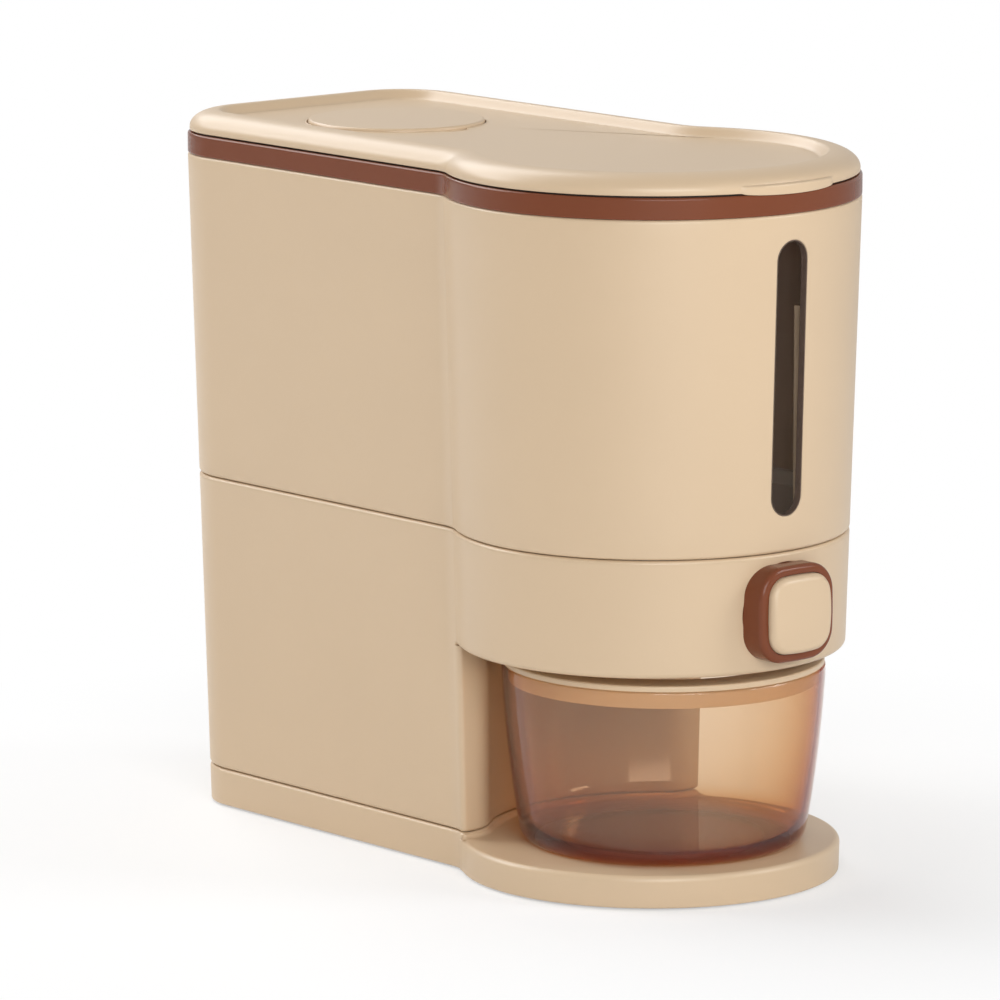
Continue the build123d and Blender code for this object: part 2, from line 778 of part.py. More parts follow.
# Window lens: a smoked plug in the slot with a flange behind the wall, and its gasket
lens_inner = bin_wall + gasket_wall
with BuildPart() as window_lens:
    add(wall_patch(lens_recess, lens_inner, -fit_gap))
    add(wall_patch(lens_inner, lens_inner + lens_wall, lens_flange))
window_lens.part.label = "window_lens"
export_step(window_lens.part, "parts/window_lens.step")

with BuildPart() as window_gasket:
    add(wall_patch(bin_wall, lens_inner, lens_flange))
    add(window_prism(fit_gap), mode=Mode.SUBTRACT)
window_gasket.part.label = "window_gasket"
export_step(window_gasket.part, "parts/window_gasket.step")

# Band: the brown collar on top of the bin that the lid closes on
with BuildPart() as band:
    extrude(keyhole(0, band_base), amount=band_height)
    fillet(band.edges().group_by(Axis.Z)[-1], band_rounding)
    fillet(band.edges().group_by(Axis.Z)[0], band_rounding / 2)
    extrude(keyhole(band_wall - band_skirt_wall, band_base), amount=-band_skirt_drop)
    extrude(
        keyhole(band_wall, band_base - band_skirt_drop),
        amount=band_skirt_drop + band_height,
        mode=Mode.SUBTRACT,
    )
band.part.label = "band"
export_step(band.part, "parts/band.step")

# Lid: a domed rim with a plug skirt, a sunk panel, a well for the round cap and a thumb lip
with BuildPart() as thumb_lip:
    with BuildSketch(Plane.XY.offset(lid_edge)) as lip_outline:
        with Locations((0, drum_y)):
            Circle(drum_radius - lid_edge_inset + lip_proud)
            Circle(drum_radius - lid_seal_inset, mode=Mode.SUBTRACT)
        with Locations((0, front_y)):
            Rectangle(lip_width, lip_width, mode=Mode.INTERSECT)
        fillet(lip_outline.vertices().sort_by(Axis.Y)[:2], lip_proud)
    extrude(amount=lip_height)
    fillet(thumb_lip.edges().group_by(Axis.Z)[-1].sort_by(Axis.Y)[0], lip_rounding)

with BuildPart() as lid:
    rim_start = keyhole(0, 0).faces()[0].outer_wire() @ 0
    with BuildSketch(Plane(rim_start, x_dir=(0, -1, 0), z_dir=(-1, 0, 0))):
        with BuildLine():
            Line((lid_edge_inset, lid_edge), (lid_edge_inset, lid_land))
            EllipticalCenterArc(
                (lid_crest_inset, lid_land),
                lid_crest_inset - lid_edge_inset,
                body_height - lid_land,
                start_angle=quarter_turn,
                arc_size=quarter_turn,
            )
            Spline(
                (lid_crest_inset, body_height),
                (lid_recess_inset, recess_top),
                tangents=[(1, 0), (1, 0)],
            )
            Polyline(
                (lid_recess_inset, recess_top),
                (lid_recess_inset, recess_top - lid_wall),
                (lid_crest_inset + lid_wall, recess_top - lid_wall),
                (lid_crest_inset, body_height - lid_wall),
                (lid_plug_inset + lid_plug_wall, lid_land + lid_wall),
                (lid_plug_inset + lid_plug_wall, band_top - lid_plug_drop),
                (lid_plug_inset, band_top - lid_plug_drop),
                (lid_plug_inset, lid_land),
                (lid_seal_inset, lid_land),
                (lid_seal_inset, lid_edge),
                (lid_edge_inset, lid_edge),
            )
        make_face()
    sweep(path=keyhole(0, 0).faces()[0].outer_wire())
    extrude(keyhole(lid_recess_inset - fit_gap, recess_top - lid_wall), amount=lid_wall)
    add(thumb_lip.part)
    with Locations((0, vent_y, ledge_base)):
        Cylinder(vent_radius + vent_gap + vent_well_wall, recess_top - ledge_base, align=straight_up)
        Cylinder(ledge_radius, recess_top - ledge_base, align=straight_up, mode=Mode.SUBTRACT)
    with Locations((0, vent_y, ledge_top)):
        Cylinder(vent_radius + vent_gap, recess_top - ledge_top, align=straight_up, mode=Mode.SUBTRACT)
    with BuildSketch(Plane.XY.offset(recess_top)):
        with Locations((0, vent_y - vent_radius - vent_gap)):
            RectangleRounded(notch_width, 2 * notch_reach, notch_reach / 2)
    extrude(amount=-notch_depth, mode=Mode.SUBTRACT)
lid.part.label = "lid"
export_step(lid.part, "parts/lid.step")

# Lid seal: a soft ring under the rim that rests on the band
with BuildPart() as lid_seal:
    extrude(keyhole(lid_seal_inset, band_top), amount=lid_land - band_top)
    extrude(keyhole(band_wall, band_top), amount=lid_land - band_top, mode=Mode.SUBTRACT)
lid_seal.part.label = "lid_seal"
export_step(lid_seal.part, "parts/lid_seal.step")

# Round cap in the lid, with its seal and the moisture basket below it
with BuildPart() as round_cap:
    with Locations((0, vent_y, vent_under)):
        Cylinder(vent_radius, vent_wall, align=straight_up)
    fillet(round_cap.edges().group_by(Axis.Z)[-1], vent_rounding)
    with Locations((0, vent_y, vent_under)):
        Cylinder(vent_skirt_radius, vent_under - ledge_base + vent_skirt_drop, align=hanging)
        Cylinder(
            vent_skirt_radius - vent_skirt_wall,
            vent_under - ledge_base + vent_skirt_drop,
            align=hanging,
            mode=Mode.SUBTRACT,
        )
round_cap.part.label = "round_cap"
export_step(round_cap.part, "parts/round_cap.step")

with BuildPart() as round_cap_seal:
    with Locations((0, vent_y, ledge_top)):
        Cylinder(vent_radius - vent_rounding / 2, vent_seal_height, align=straight_up)
        Cylinder(vent_skirt_radius + fit_gap, vent_seal_height, align=straight_up, mode=Mode.SUBTRACT)
round_cap_seal.part.label = "round_cap_seal"
export_step(round_cap_seal.part, "parts/round_cap_seal.step")

with BuildPart() as moisture_basket:
    with Locations((0, vent_y, vent_under)):
        Cylinder(basket_radius, basket_depth, align=hanging)
        Cylinder(basket_radius - basket_wall, basket_depth - basket_wall, align=hanging, mode=Mode.SUBTRACT)
    floor_low = vent_under - basket_depth
    hole_rows = int((basket_radius - basket_wall) / basket_hole_pitch) - 1
    with Locations((0, vent_y, floor_low)):
        with GridLocations(basket_hole_pitch, basket_hole_pitch, 2 * hole_rows - 1, 2 * hole_rows - 1):
            Cylinder(basket_hole_radius, basket_wall, align=straight_up, mode=Mode.SUBTRACT)
    with Locations((0, vent_y, floor_low + basket_slot_margin)):
        with PolarLocations(basket_radius, basket_slots):
            Box(
                2 * basket_wall + overrun,
                basket_slot_width,
                basket_slot_length,
                align=straight_up,
                mode=Mode.SUBTRACT,
            )
moisture_basket.part.label = "moisture_basket"
export_step(moisture_basket.part, "parts/moisture_basket.step")

# Cup: a clear tumbler with a thick foot and a slightly bowed wall
mid_z = tray_height + cup_mid_share * (cup_rim - cup_straight - tray_height)
with BuildPart() as cup:
    with BuildSketch(facing_front(cup_y, 0)) as cup_half:
        with BuildLine():
            Polyline(
                (0, tray_height + cup_floor),
                (0, tray_height + cup_recess_depth),
                (cup_recess_radius, tray_height + cup_recess_depth),
                (cup_recess_radius, tray_height),
                (cup_foot_radius, tray_height),
            )
            ThreePointArc(
                (cup_foot_radius, tray_height),
                (cup_mid_radius, mid_z),
                (cup_rim_radius, cup_rim - cup_straight),
            )
            Polyline(
                (cup_rim_radius, cup_rim - cup_straight),
                (cup_rim_radius, cup_rim),
                (cup_rim_radius - cup_wall, cup_rim),
                (cup_rim_radius - cup_wall, cup_rim - cup_straight),
            )
            ThreePointArc(
                (cup_rim_radius - cup_wall, cup_rim - cup_straight),
                (cup_mid_radius - cup_wall, mid_z),
                (cup_foot_radius - cup_wall, tray_height + cup_floor),
            )
            Line((cup_foot_radius - cup_wall, tray_height + cup_floor), (0, tray_height + cup_floor))
        make_face()
        fillet(corner_near(cup_half, cup_foot_radius, tray_height), cup_foot_rounding)
        floor_corner = corner_near(cup_half, cup_foot_radius - cup_wall, tray_height + cup_floor)
        fillet(floor_corner, cup_inner_rounding)
        fillet(corner_near(cup_half, cup_rim_radius, cup_rim), cup_rim_rounding)
        fillet(corner_near(cup_half, cup_rim_radius - cup_wall, cup_rim), cup_rim_rounding)
    revolve(axis=cup_axis)
cup.part.label = "cup"
export_step(cup.part, "parts/cup.step")

# Collar: the pale ring on the cup that guides the rice in
skirt_outer = cup_rim_radius - cup_wall - collar_skirt_gap
collar_under = collar_top - collar_wall
collar_outer = cup_rim_radius - collar_inset
with BuildPart() as cup_collar:
    with BuildSketch(facing_front(cup_y, 0)) as collar_half:
        with BuildLine():
            Polyline(
                (collar_mouth_radius, collar_top),
                (collar_outer, collar_top),
                (collar_outer, collar_under),
                (skirt_outer, collar_under),
                (skirt_outer, cup_rim - collar_skirt_drop),
                (skirt_outer - collar_skirt_wall, cup_rim - collar_skirt_drop),
                (skirt_outer - collar_skirt_wall, collar_under),
                (collar_mouth_radius + collar_wall, collar_under),
                (collar_mouth_radius + collar_wall, collar_top - collar_mouth_drop),
                (collar_mouth_radius, collar_top - collar_mouth_drop),
                close=True,
            )
        make_face()
        fillet(corner_near(collar_half, collar_outer, collar_top), collar_rounding)
        fillet(corner_near(collar_half, collar_mouth_radius, collar_top), collar_rounding)
    revolve(axis=cup_axis)
cup_collar.part.label = "cup_collar"
export_step(cup_collar.part, "parts/cup_collar.step")
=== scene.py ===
import json
import math

import bmesh
import bpy
import numpy as np
from bpy.props import FloatProperty, FloatVectorProperty, PointerProperty
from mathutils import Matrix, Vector


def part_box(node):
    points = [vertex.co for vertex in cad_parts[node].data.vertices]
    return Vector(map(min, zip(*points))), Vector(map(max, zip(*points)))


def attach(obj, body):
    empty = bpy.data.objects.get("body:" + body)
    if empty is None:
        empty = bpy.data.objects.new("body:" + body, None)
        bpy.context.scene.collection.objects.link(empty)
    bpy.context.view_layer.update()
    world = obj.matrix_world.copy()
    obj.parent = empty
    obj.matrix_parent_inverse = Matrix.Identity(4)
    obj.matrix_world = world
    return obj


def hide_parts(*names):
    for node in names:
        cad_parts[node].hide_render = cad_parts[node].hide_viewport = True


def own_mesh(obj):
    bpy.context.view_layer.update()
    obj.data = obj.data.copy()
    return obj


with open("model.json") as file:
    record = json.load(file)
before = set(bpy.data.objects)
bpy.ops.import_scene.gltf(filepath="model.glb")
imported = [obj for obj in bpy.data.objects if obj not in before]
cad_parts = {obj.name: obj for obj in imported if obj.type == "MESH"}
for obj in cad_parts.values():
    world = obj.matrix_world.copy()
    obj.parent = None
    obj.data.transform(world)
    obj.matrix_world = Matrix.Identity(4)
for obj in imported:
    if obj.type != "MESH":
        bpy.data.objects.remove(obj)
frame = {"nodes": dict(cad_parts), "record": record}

bl_info = {
    "name": "Rice dispenser looks",
    "version": (1, 0, 0),
    "blender": (4, 5, 0),
    "location": "View3D > Sidebar > Dispenser",
    "description": "Dresses a countertop rice dispenser: moulded shells, clear cup, finishes and studio",
    "category": "Object",
}

MM = 0.001
HAIR = 0.002 * MM       # keeps two surfaces apart without showing
WELD = 0.001 * MM       # joins points that lie closer than this
HOLD = 0.25 * MM        # straight stretch kept beside a rounded corner
CREASE = math.radians(35.0)
FLIP = np.array([-1.0, 1.0])    # mirrors a plan's points from side to side
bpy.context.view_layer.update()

# Places that the frame gives
BAND_LOW, BAND_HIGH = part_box("band")
BIN_LOW, BIN_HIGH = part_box("upper_bin")
LID_LOW, LID_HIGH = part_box("lid")
VENT_LOW, VENT_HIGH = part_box("round_cap")
CAP_LOW, CAP_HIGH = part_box("button_cap")
CUP_LOW, CUP_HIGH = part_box("cup")
LENS_LOW, LENS_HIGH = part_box("window_lens")
BASE_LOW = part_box("base")[0]
SPRING_LOW, SPRING_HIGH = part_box("return_spring")

DRUM_RADIUS = (BAND_HIGH.x - BAND_LOW.x) / 2
DRUM_Y = BAND_LOW.y + DRUM_RADIUS
REAR_Y = BAND_HIGH.y
PART_LINE = BIN_LOW.z
BAND_BASE = BIN_HIGH.z
BAND_TOP = BAND_HIGH.z
LID_TOP = LID_HIGH.z
VENT_Y = (VENT_LOW.y + VENT_HIGH.y) / 2
VENT_RADIUS = (VENT_HIGH.x - VENT_LOW.x) / 2
CUP_Y = (CUP_LOW.y + CUP_HIGH.y) / 2
BUTTON_Z = (CAP_LOW.z + CAP_HIGH.z) / 2
LENS_Z = (LENS_LOW.z + LENS_HIGH.z) / 2
LENS_HALF = (LENS_HIGH.z - LENS_LOW.z) / 2

# Sizes of the dressed surfaces that the frame's boxes don't give, in millimetres
SIZES = {
    "neck_step": (15.0, "Step from the drum's side in to the rear block's"),
    "rear_corner": (37.0, "Radius of the rear corners"),
    "neck_radius": (20.5, "Radius of the hollow neck"),
    "seam": (1.6, "Rounding along the parting lines"),
    "seam_gap": (0.35, "Gap along the parting lines"),
    "bin_wall": (3.0, "Wall of the rice bin"),
    "band_rounding": (1.0, "Rounding along the band's top"),
    "band_skirt": (6.0, "Reach of the band's skirt into the bin"),
    "band_skirt_wall": (1.8, "Wall of the band's skirt"),
    "band_skirt_gap": (0.5, "Gap between skirt and bin"),
    "window_width": (17.2, "Width of the window slot"),
    "window_lip": (0.7, "Rounding round the window slot"),
    "window_side": (5.0, "Wall beside the slot whose rings follow it"),
    "window_end": (2.0, "The same past the lens's ends"),
    "lens_recess": (0.4, "Depth of the lens in its slot"),
    "lens_edge": (0.6, "Rounding along the lens's edge"),
    "sleeve": (0.4, "Thickness of the slot's seal"),
    "lens_gap": (0.2, "Gap between lens flange and ribs"),
    "lens_play": (0.05, "Gap on each side of the seal"),
    "lens_flange": (2.8, "Width of the lens's flange"),
    "lens_seat": (3.8, "Depth at which the flange starts"),
    "lens_back": (5.8, "Depth at which the flange ends"),
    "rib_wall": (2.4, "Thickness of the ribs"),
    "rib_depth": (5.7, "Depth of the ribs at the window's foot"),
    "rib_drop": (30.0, "Drop from the window's top to the ribs"),
    "bezel_width": (42.0, "Width of the brown bezel"),
    "bezel_height": (41.6, "Height of the brown bezel"),
    "bezel_corner": (13.0, "Radius of the bezel's corners"),
    "bezel_bulge": (1.0, "Swell of the bezel's sides"),
    "bezel_gap": (0.2, "Gap round the bezel"),
    "bezel_lip": (0.4, "Rounding round the bezel's hole"),
    "bezel_side": (6.0, "Wall beside the bezel whose rings follow it"),
    "bezel_end": (2.6, "The same over and under the bezel"),
    "shell_wall": (2.6, "Wall of the lower housing"),
    "overhang": (100.4, "Height of the overhang's underside"),
    "overhang_rounding": (3.5, "Rounding along the overhang"),
    "spout_width": (44.4, "Width of the spout's hole"),
    "spout_depth": (21.4, "Depth of the spout's hole"),
    "spout_corner": (3.0, "Radius of the spout hole's corners"),
    "column_roof": (2.0, "Drop from the overhang to the column's hollow"),
    "column_front": (-32.1, "Depth of the horns' flat fronts"),
    "horn_rounding": (3.0, "Rounding from sides to horns"),
    "horn_bay_rounding": (20.0, "Rounding from horns to bay"),
    "bay_radius": (75.8, "Radius of the bay behind the cup"),
    "skirt_top": (17.7, "Height of the base's parting line"),
    "tray_top": (15.0, "Height of the tray under the cup"),
    "tray_proud": (0.8, "Stand of the tray past the skirt"),
    "tray_rounding": (2.6, "Rounding along the tray's edge"),
    "tray_hold": (0.4, "Straight stretch under the tray's rounding"),
    "foot_edge": (0.6, "Rounding along the foot of the base"),
    "step_root": (0.6, "Reach of the step into the tray"),
    "step_rise": (0.5, "Height of the step's plain foot"),
    "step_cove": (1.8, "Radius of the cove round the step"),
    "cove_root": (0.3, "Reach of the cove into the tray"),
    "cove_back": (0.5, "Reach of the cove into the step"),
    "base_wall": (2.6, "Wall of the base"),
    "base_ceiling": (12.4, "Height of the hollow under the base"),
    "spring_wire": (0.9, "Thickness of the spring's wire"),
    "press_stroke": (13.0, "Way that the button goes in"),
    "spring_gap": (0.2, "Room between pressed gate and spring"),
    "lid_gap": (0.7, "Gap between band and lid"),
    "lid_land": (2.2, "Height of the dome's foot over the band"),
    "lid_inset": (0.9, "Inset of the lid's edge from the band"),
    "lid_crest": (13.7, "Inset of the rim's highest line"),
    "lid_hollow": (19.0, "Inset of the sunken top"),
    "lid_floor": (311.1, "Height of the sunken top"),
    "lid_wall": (2.3, "Wall of the lid"),
    "lid_plug": (5.8, "Inset of the plug that fits the band"),
    "lid_plug_wall": (1.8, "Wall of the plug"),
    "lid_foot_wall": (1.5, "Wall of the rim's foot"),
    "lid_edge": (0.4, "Rounding along the lid's lower edge"),
    "lid_slope": (3.0, "Level stretch of the underside past the hollow"),
    "lid_rounding": (1.0, "Rounding of the lid's underside"),
    "lip_width": (52.0, "Width of the thumb lip"),
    "lip_proud": (2.0, "Stand of the thumb lip past the rim"),
    "lip_height": (3.3, "Height of the thumb lip"),
    "lip_shoulder": (0.9, "Rounding along the lip's upper edge"),
    "lip_crease": (0.1, "Depth of the crease behind the lip"),
    "lip_drop": (1.3, "Drop of the thumb lip over the band"),
    "well_gap": (0.6, "Gap round the round cap"),
    "well_ledge": (36.6, "Inner radius of the round cap's ledge"),
    "well_depth": (6.3, "Depth of the round cap's well"),
    "well_wall": (2.0, "Wall of the well and of its ledge"),
    "well_edge": (0.2, "Rounding of the ledge's edges"),
    "notch_width": (15.0, "Width of the finger notch"),
    "notch_reach": (3.2, "Reach of the finger notch"),
    "notch_depth": (1.5, "Depth of the finger notch"),
}
WALL_LEAN = 0.029       # how far the walls lean in for each unit of drop below the band

# Linear colours of the finishes
COLOURS = {
    "beige": ((0.610, 0.458, 0.302), "Satin moulded shells"),
    "brown": ((0.175, 0.050, 0.021), "Gloss band and bezel"),
    "amber": ((0.953, 0.866, 0.762), "Tint of the clear cup through one wall"),
    "smoke": ((0.13, 0.070, 0.046), "Smoked film of the window"),
    "ivory": ((0.72, 0.66, 0.55), "Inner mouldings"),
    "rubber": ((0.022, 0.015, 0.011), "Seals and feet"),
    # The umber seal is partly a real seal; its dark lining of the window slot's wall is painted shade
    "umber": ((0.105, 0.070, 0.052), "Seal that lines the window"),
}

# Power in watts, then place, aim and size in metres
LAMPS = {
    "key": (36.0, (-1.12, -1.95, 1.00), (0, -0.05, 0.16), (1.5, 1.3)),
    "right": (19.0, (1.30, -1.75, 1.30), (0, -0.05, 0.16), (0.8, 1.0)),
    "left": (16.5, (-1.30, 1.75, 1.30), (0, 0.02, 0.24), (1.0, 1.0)),
    "back": (47.0, (-0.15, 1.95, 1.85), (0, 0.0, 0.28), (2.4, 1.5)),
}

# Levels of the white surround, as a share of what the camera sees
LEVELS = {
    "ambient": (0.15, "Level of the light from all round"),
    "mirror": (0.62, "Level of the surround in reflections"),
}


def number(name, value, words, **more):
    """A number property that is labelled with its own name."""
    return FloatProperty(name=name.replace("_", " ").capitalize(), description=words, default=value, **more)


class DispenserSizes(bpy.types.PropertyGroup):
    """Sizes of the dressed surfaces."""

    __annotations__ = {
        name: number(name, value * MM, words, unit="LENGTH", precision=5)
        for name, (value, words) in SIZES.items()
    }


class DispenserLook(bpy.types.PropertyGroup):
    """Colours of the finishes, power of the lamps and levels of the surround."""

    __annotations__ = {
        name: FloatVectorProperty(
            name=name.capitalize(), description=words, default=value, subtype="COLOR", size=3, min=0, max=1
        )
        for name, (value, words) in COLOURS.items()
    }
    __annotations__ |= {
        name: number(name, row[0], f"Power of the {name} lamp", unit="POWER") for name, row in LAMPS.items()
    }
    __annotations__ |= {name: number(name, *row, precision=4) for name, row in LEVELS.items()}


# Outlines and profiles


def corner_arcs(points, radii, steps=6):
    """A profile with rounded corners: each corner is cut back by radius / tan(half its angle) and
    bridged by an arc, with a holding point on both straight sides so that the flats shade flat."""
    points = np.asarray(points, float)
    count = len(points)
    made = []
    for i, radius in enumerate(radii):
        here = points[i]
        if radius == 0:
            made.append(here[None])
            continue
        back = points[i - 1] - here
        ahead = points[(i + 1) % count] - here
        room = (np.linalg.norm(back), np.linalg.norm(ahead))
        back, ahead = back / room[0], ahead / room[1]
        half = math.acos(np.clip(back @ ahead, -1, 1)) / 2
        cut = radius / math.tan(half)
        middle = here + (back + ahead) / np.linalg.norm(back + ahead) * radius / math.sin(half)
        sweep = math.pi - 2 * half
        first, last = here + back * cut - middle, here + ahead * cut - middle
        angle = np.linspace(0, sweep, steps + 1)[:, None]
        arc = middle + (first * np.sin(sweep - angle) + last * np.sin(angle)) / math.sin(sweep)
        before = here + back * min(cut + HOLD, (cut + room[0]) / 2)
        after = here + ahead * min(cut + HOLD, (cut + room[1]) / 2)
        made += [before[None], arc, after[None]]
    return np.concatenate(made)


def keyhole(front_angle=0.0, front_columns=0):
    """The body's outline seen from above, as points and outward normals at no inset. Going round from
    the front: the drum's arc, the hollow neck arc, the straight side, the rear corner and the rear,
    then the same mirrored. The first columns on each side of the front are evenly spaced in angle."""
    sizes = bpy.context.scene.dispenser_sizes
    half = DRUM_RADIUS - sizes.neck_step
    neck = sizes.neck_radius
    corner = sizes.rear_corner
    neck_y = DRUM_Y + math.sqrt((DRUM_RADIUS + neck) ** 2 - (half + neck) ** 2)
    meet = math.atan2(neck_y - DRUM_Y, half + neck)
    front = -math.pi / 2
    near = np.linspace(front, front + front_angle, front_columns + 1)[:-1]
    drum = np.concatenate([near, np.linspace(front + front_angle, meet, 84)])
    hollow = np.linspace(meet + math.pi, math.pi, 26)[1:]
    turn = np.linspace(0, math.pi / 2, 30)
    side_y = np.linspace(neck_y, REAR_Y - corner, 26)[1:-1]
    rear_x = np.linspace(half - corner, 0, 8)[1:]

    def ring(x, y, radius, angle, sign):
        """An arc's points, and its normals, which are turned inwards where the sign is -1."""
        ray = np.stack([np.cos(angle), np.sin(angle)], 1)
        return np.array([x, y]) + radius * ray, sign * ray

    parts = [
        ring(0, DRUM_Y, DRUM_RADIUS, drum, 1),
        ring(half + neck, neck_y, neck, hollow, -1),
        (np.stack([np.full_like(side_y, half), side_y], 1), np.tile([1.0, 0.0], (len(side_y), 1))),
        ring(half - corner, REAR_Y - corner, corner, turn, 1),
        (np.stack([rear_x, np.full_like(rear_x, REAR_Y)], 1), np.tile([0.0, 1.0], (len(rear_x), 1))),
    ]
    halves = (np.concatenate(rows) for rows in zip(*parts))
    return tuple(np.concatenate([half, half[-2:0:-1] * FLIP]) for half in halves)


def raised(plan, height):
    """Points of a plan, with rows and columns, at the heights of their rows or of each point."""
    return np.concatenate([plan, np.broadcast_to(height, plan.shape[:2])[..., None]], axis=2)


def carried(outline, inset, height):
    """A profile carried round an outline: each point is the outline's point, moved in along its normal by
    the inset, at the height. Both are rows of one column, or of a column for each point of the outline."""
    points, normals = outline
    return raised(points[None] - inset[..., None] * normals[None], height)


def lean(height):
    """Inset of the leaning wall at a height: the lean's share of the drop below the band."""
    return WALL_LEAN * (BAND_BASE - height)


def full_turn(count):
    """Evenly spaced angles round a circle."""
    return np.linspace(0, 2 * math.pi, count, endpoint=False)


def quarter(count):
    """Two shares of a radius along a quarter arc: 1 - cosine, from 0 to 1, and 1 - sine, from 1 to 0."""
    turn = np.linspace(0, math.pi / 2, count)
    return 1 - np.cos(turn), 1 - np.sin(turn)


def border(wide, high, columns, rows):
    """The points of a rectangle's border, from its lower left corner anticlockwise, with columns on each
    side of the middle and rows from bottom to top."""
    across = np.linspace(-wide, wide, 2 * columns + 1)
    up = np.linspace(-high, high, rows + 1)
    low = np.stack([across, np.full_like(across, -high)], 1)
    right = np.stack([np.full_like(up, wide), up], 1)
    return np.concatenate([low[:-1], right[:-1], -low[:-1], -right[:-1]])


def soft_box(aim, wide, high, corner, bulge=0.0):
    """The outline of a box with round corners and slightly swelling sides, one point for each aim: the
    aim is drawn to the nearest point of the box's core, and the outline lies one corner radius from
    there towards the aim, pushed out along the flats by bulge * (1 - (way along the flat)^2)."""
    core = np.array([max(wide - corner - bulge, 1e-9), max(high - corner - bulge, 1e-9)])
    nearest = np.clip(aim, -core, core)
    way = aim - nearest
    way = way / np.linalg.norm(way, axis=1, keepdims=True)
    swell = bulge * (1 - (nearest / core) ** 2)[:, ::-1]
    return nearest + corner * way + np.sign(way) * swell * np.abs(way)


# Meshes


class Skin:
    """Grids of points that are joined into one closed piece."""

    def __init__(self):
        self.points = []
        self.faces = []
        self.count = 0

    def grid(self, points, round_rows=False, drop=None):
        """Adds a grid of rows and columns of points, closed round along the rows or both ways, without
        the faces that drop marks."""
        rows, columns = points.shape[:2]
        index = np.arange(rows * columns).reshape(rows, columns) + self.count
        index = np.concatenate([index, index[:, :1]], axis=1)
        if round_rows:
            index = np.concatenate([index, index[:1]], axis=0)
        quads = np.stack([index[:-1, :-1], index[:-1, 1:], index[1:, 1:], index[1:, :-1]], axis=2)
        quads = quads.reshape(-1, 4) if drop is None else quads[~drop]
        self.points.append(points.reshape(-1, 3))
        self.faces.append(quads)
        self.count += rows * columns

    def tube(self, rings):
        """Adds rings that are closed round, with each end drawn together in its middle."""
        ends = rings[[0, -1]]
        ends = np.broadcast_to(ends.mean(axis=1, keepdims=True), ends.shape)
        self.grid(np.concatenate([ends[:1], rings, ends[1:]]))

    def made(self, name, finish):
        """Joins the grids where they meet, turns the faces outwards and makes the object."""
        mesh = bpy.data.meshes.new(name)
        mesh.from_pydata(np.concatenate(self.points).tolist(), [], np.concatenate(self.faces).tolist())
        work = bmesh.new()
        work.from_mesh(mesh)
        bmesh.ops.remove_doubles(work, verts=work.verts, dist=WELD)
        bmesh.ops.dissolve_degenerate(work, edges=work.edges, dist=WELD / 2)
        bmesh.ops.recalc_face_normals(work, faces=work.faces)
        work.to_mesh(mesh)
        work.free()
        mesh.polygons.foreach_set("use_smooth", np.ones(len(mesh.polygons), bool))
        mesh.set_sharp_from_angle(angle=CREASE)
        mesh.materials.append(finish)
        made = bpy.data.objects.new(name, mesh)
        bpy.context.scene.collection.objects.link(made)
        return made

    def piece(self, name, finish, body, nodes):
        """Makes the object as a piece of a body, in place of CAD nodes."""
        made = self.made(name, finish)
        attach(made, body)
        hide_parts(*nodes)
        return made


# Materials


class Value:
    """A shader socket that takes part in sums, so that shader maths reads as Python."""

    def __init__(self, graph, socket):
        self.graph = graph
        self.socket = socket

    def math(self, operation, first, second):
        """A Math node on values or numbers."""
        return self.graph.add("ShaderNodeMath", {"operation": operation}, {0: first, 1: second})

    def __add__(self, other):
        return self.math("ADD", self, other)

    __radd__ = __add__

    def __mul__(self, other):
        return self.math("MULTIPLY", self, other)

    __rmul__ = __mul__

    def larger(self, other):
        """The larger of two values."""
        return self.math("MAXIMUM", self, other)


class Graph:
    """The node tree of one material or world."""

    def __init__(self, owner):
        owner.use_nodes = True
        self.tree = owner.node_tree
        self.tree.nodes.clear()

    def add(self, kind, settings=None, sockets=None, out=0):
        """Adds a node, sets it, fills its sockets with values or links, and gives one output."""
        node = self.tree.nodes.new(kind)
        for name, value in (settings or {}).items():
            setattr(node, name, value)
        for name, value in (sockets or {}).items():
            if isinstance(value, Value):
                self.tree.links.new(value.socket, node.inputs[name])
            else:
                node.inputs[name].default_value = value
        return Value(self, node.outputs[out]) if len(node.outputs) else None

    def noise(self, scale, detail=2.0, rough=0.5, stretch=(1, 1, 1)):
        """A noise value on object coordinates, from 0 to 1."""
        place = self.add("ShaderNodeTexCoord", out="Object")
        place = self.add("ShaderNodeMapping", {}, {"Vector": place, "Scale": stretch})
        sockets = {"Vector": place, "Scale": scale, "Detail": detail, "Roughness": rough}
        return self.add("ShaderNodeTexNoise", {}, sockets)

    def blend(self, share, first, second):
        """Two colours mixed by a share."""
        sockets = {0: share, 6: (*first, 1.0), 7: (*second, 1.0)}
        return self.add("ShaderNodeMix", {"data_type": "RGBA"}, sockets, out=2)

    def bump(self, height, strength, distance, normal=None):
        """A bump's normal."""
        sockets = {"Height": height, "Strength": strength, "Distance": distance}
        if normal is not None:
            sockets["Normal"] = normal
        return self.add("ShaderNodeBump", {}, sockets)

    def surface(self, **sockets):
        """The principled surface and the output, with socket names in words joined by underscores."""
        named = {key.replace("_", " ").title().replace("Ior", "IOR"): item for key, item in sockets.items()}
        shader = self.add("ShaderNodeBsdfPrincipled", {}, named)
        self.add("ShaderNodeOutputMaterial", {}, {"Surface": shader})


def shade(rgb, factor):
    """A colour made darker or lighter by a factor."""
    return tuple(min(1.0, channel * factor) for channel in rgb)


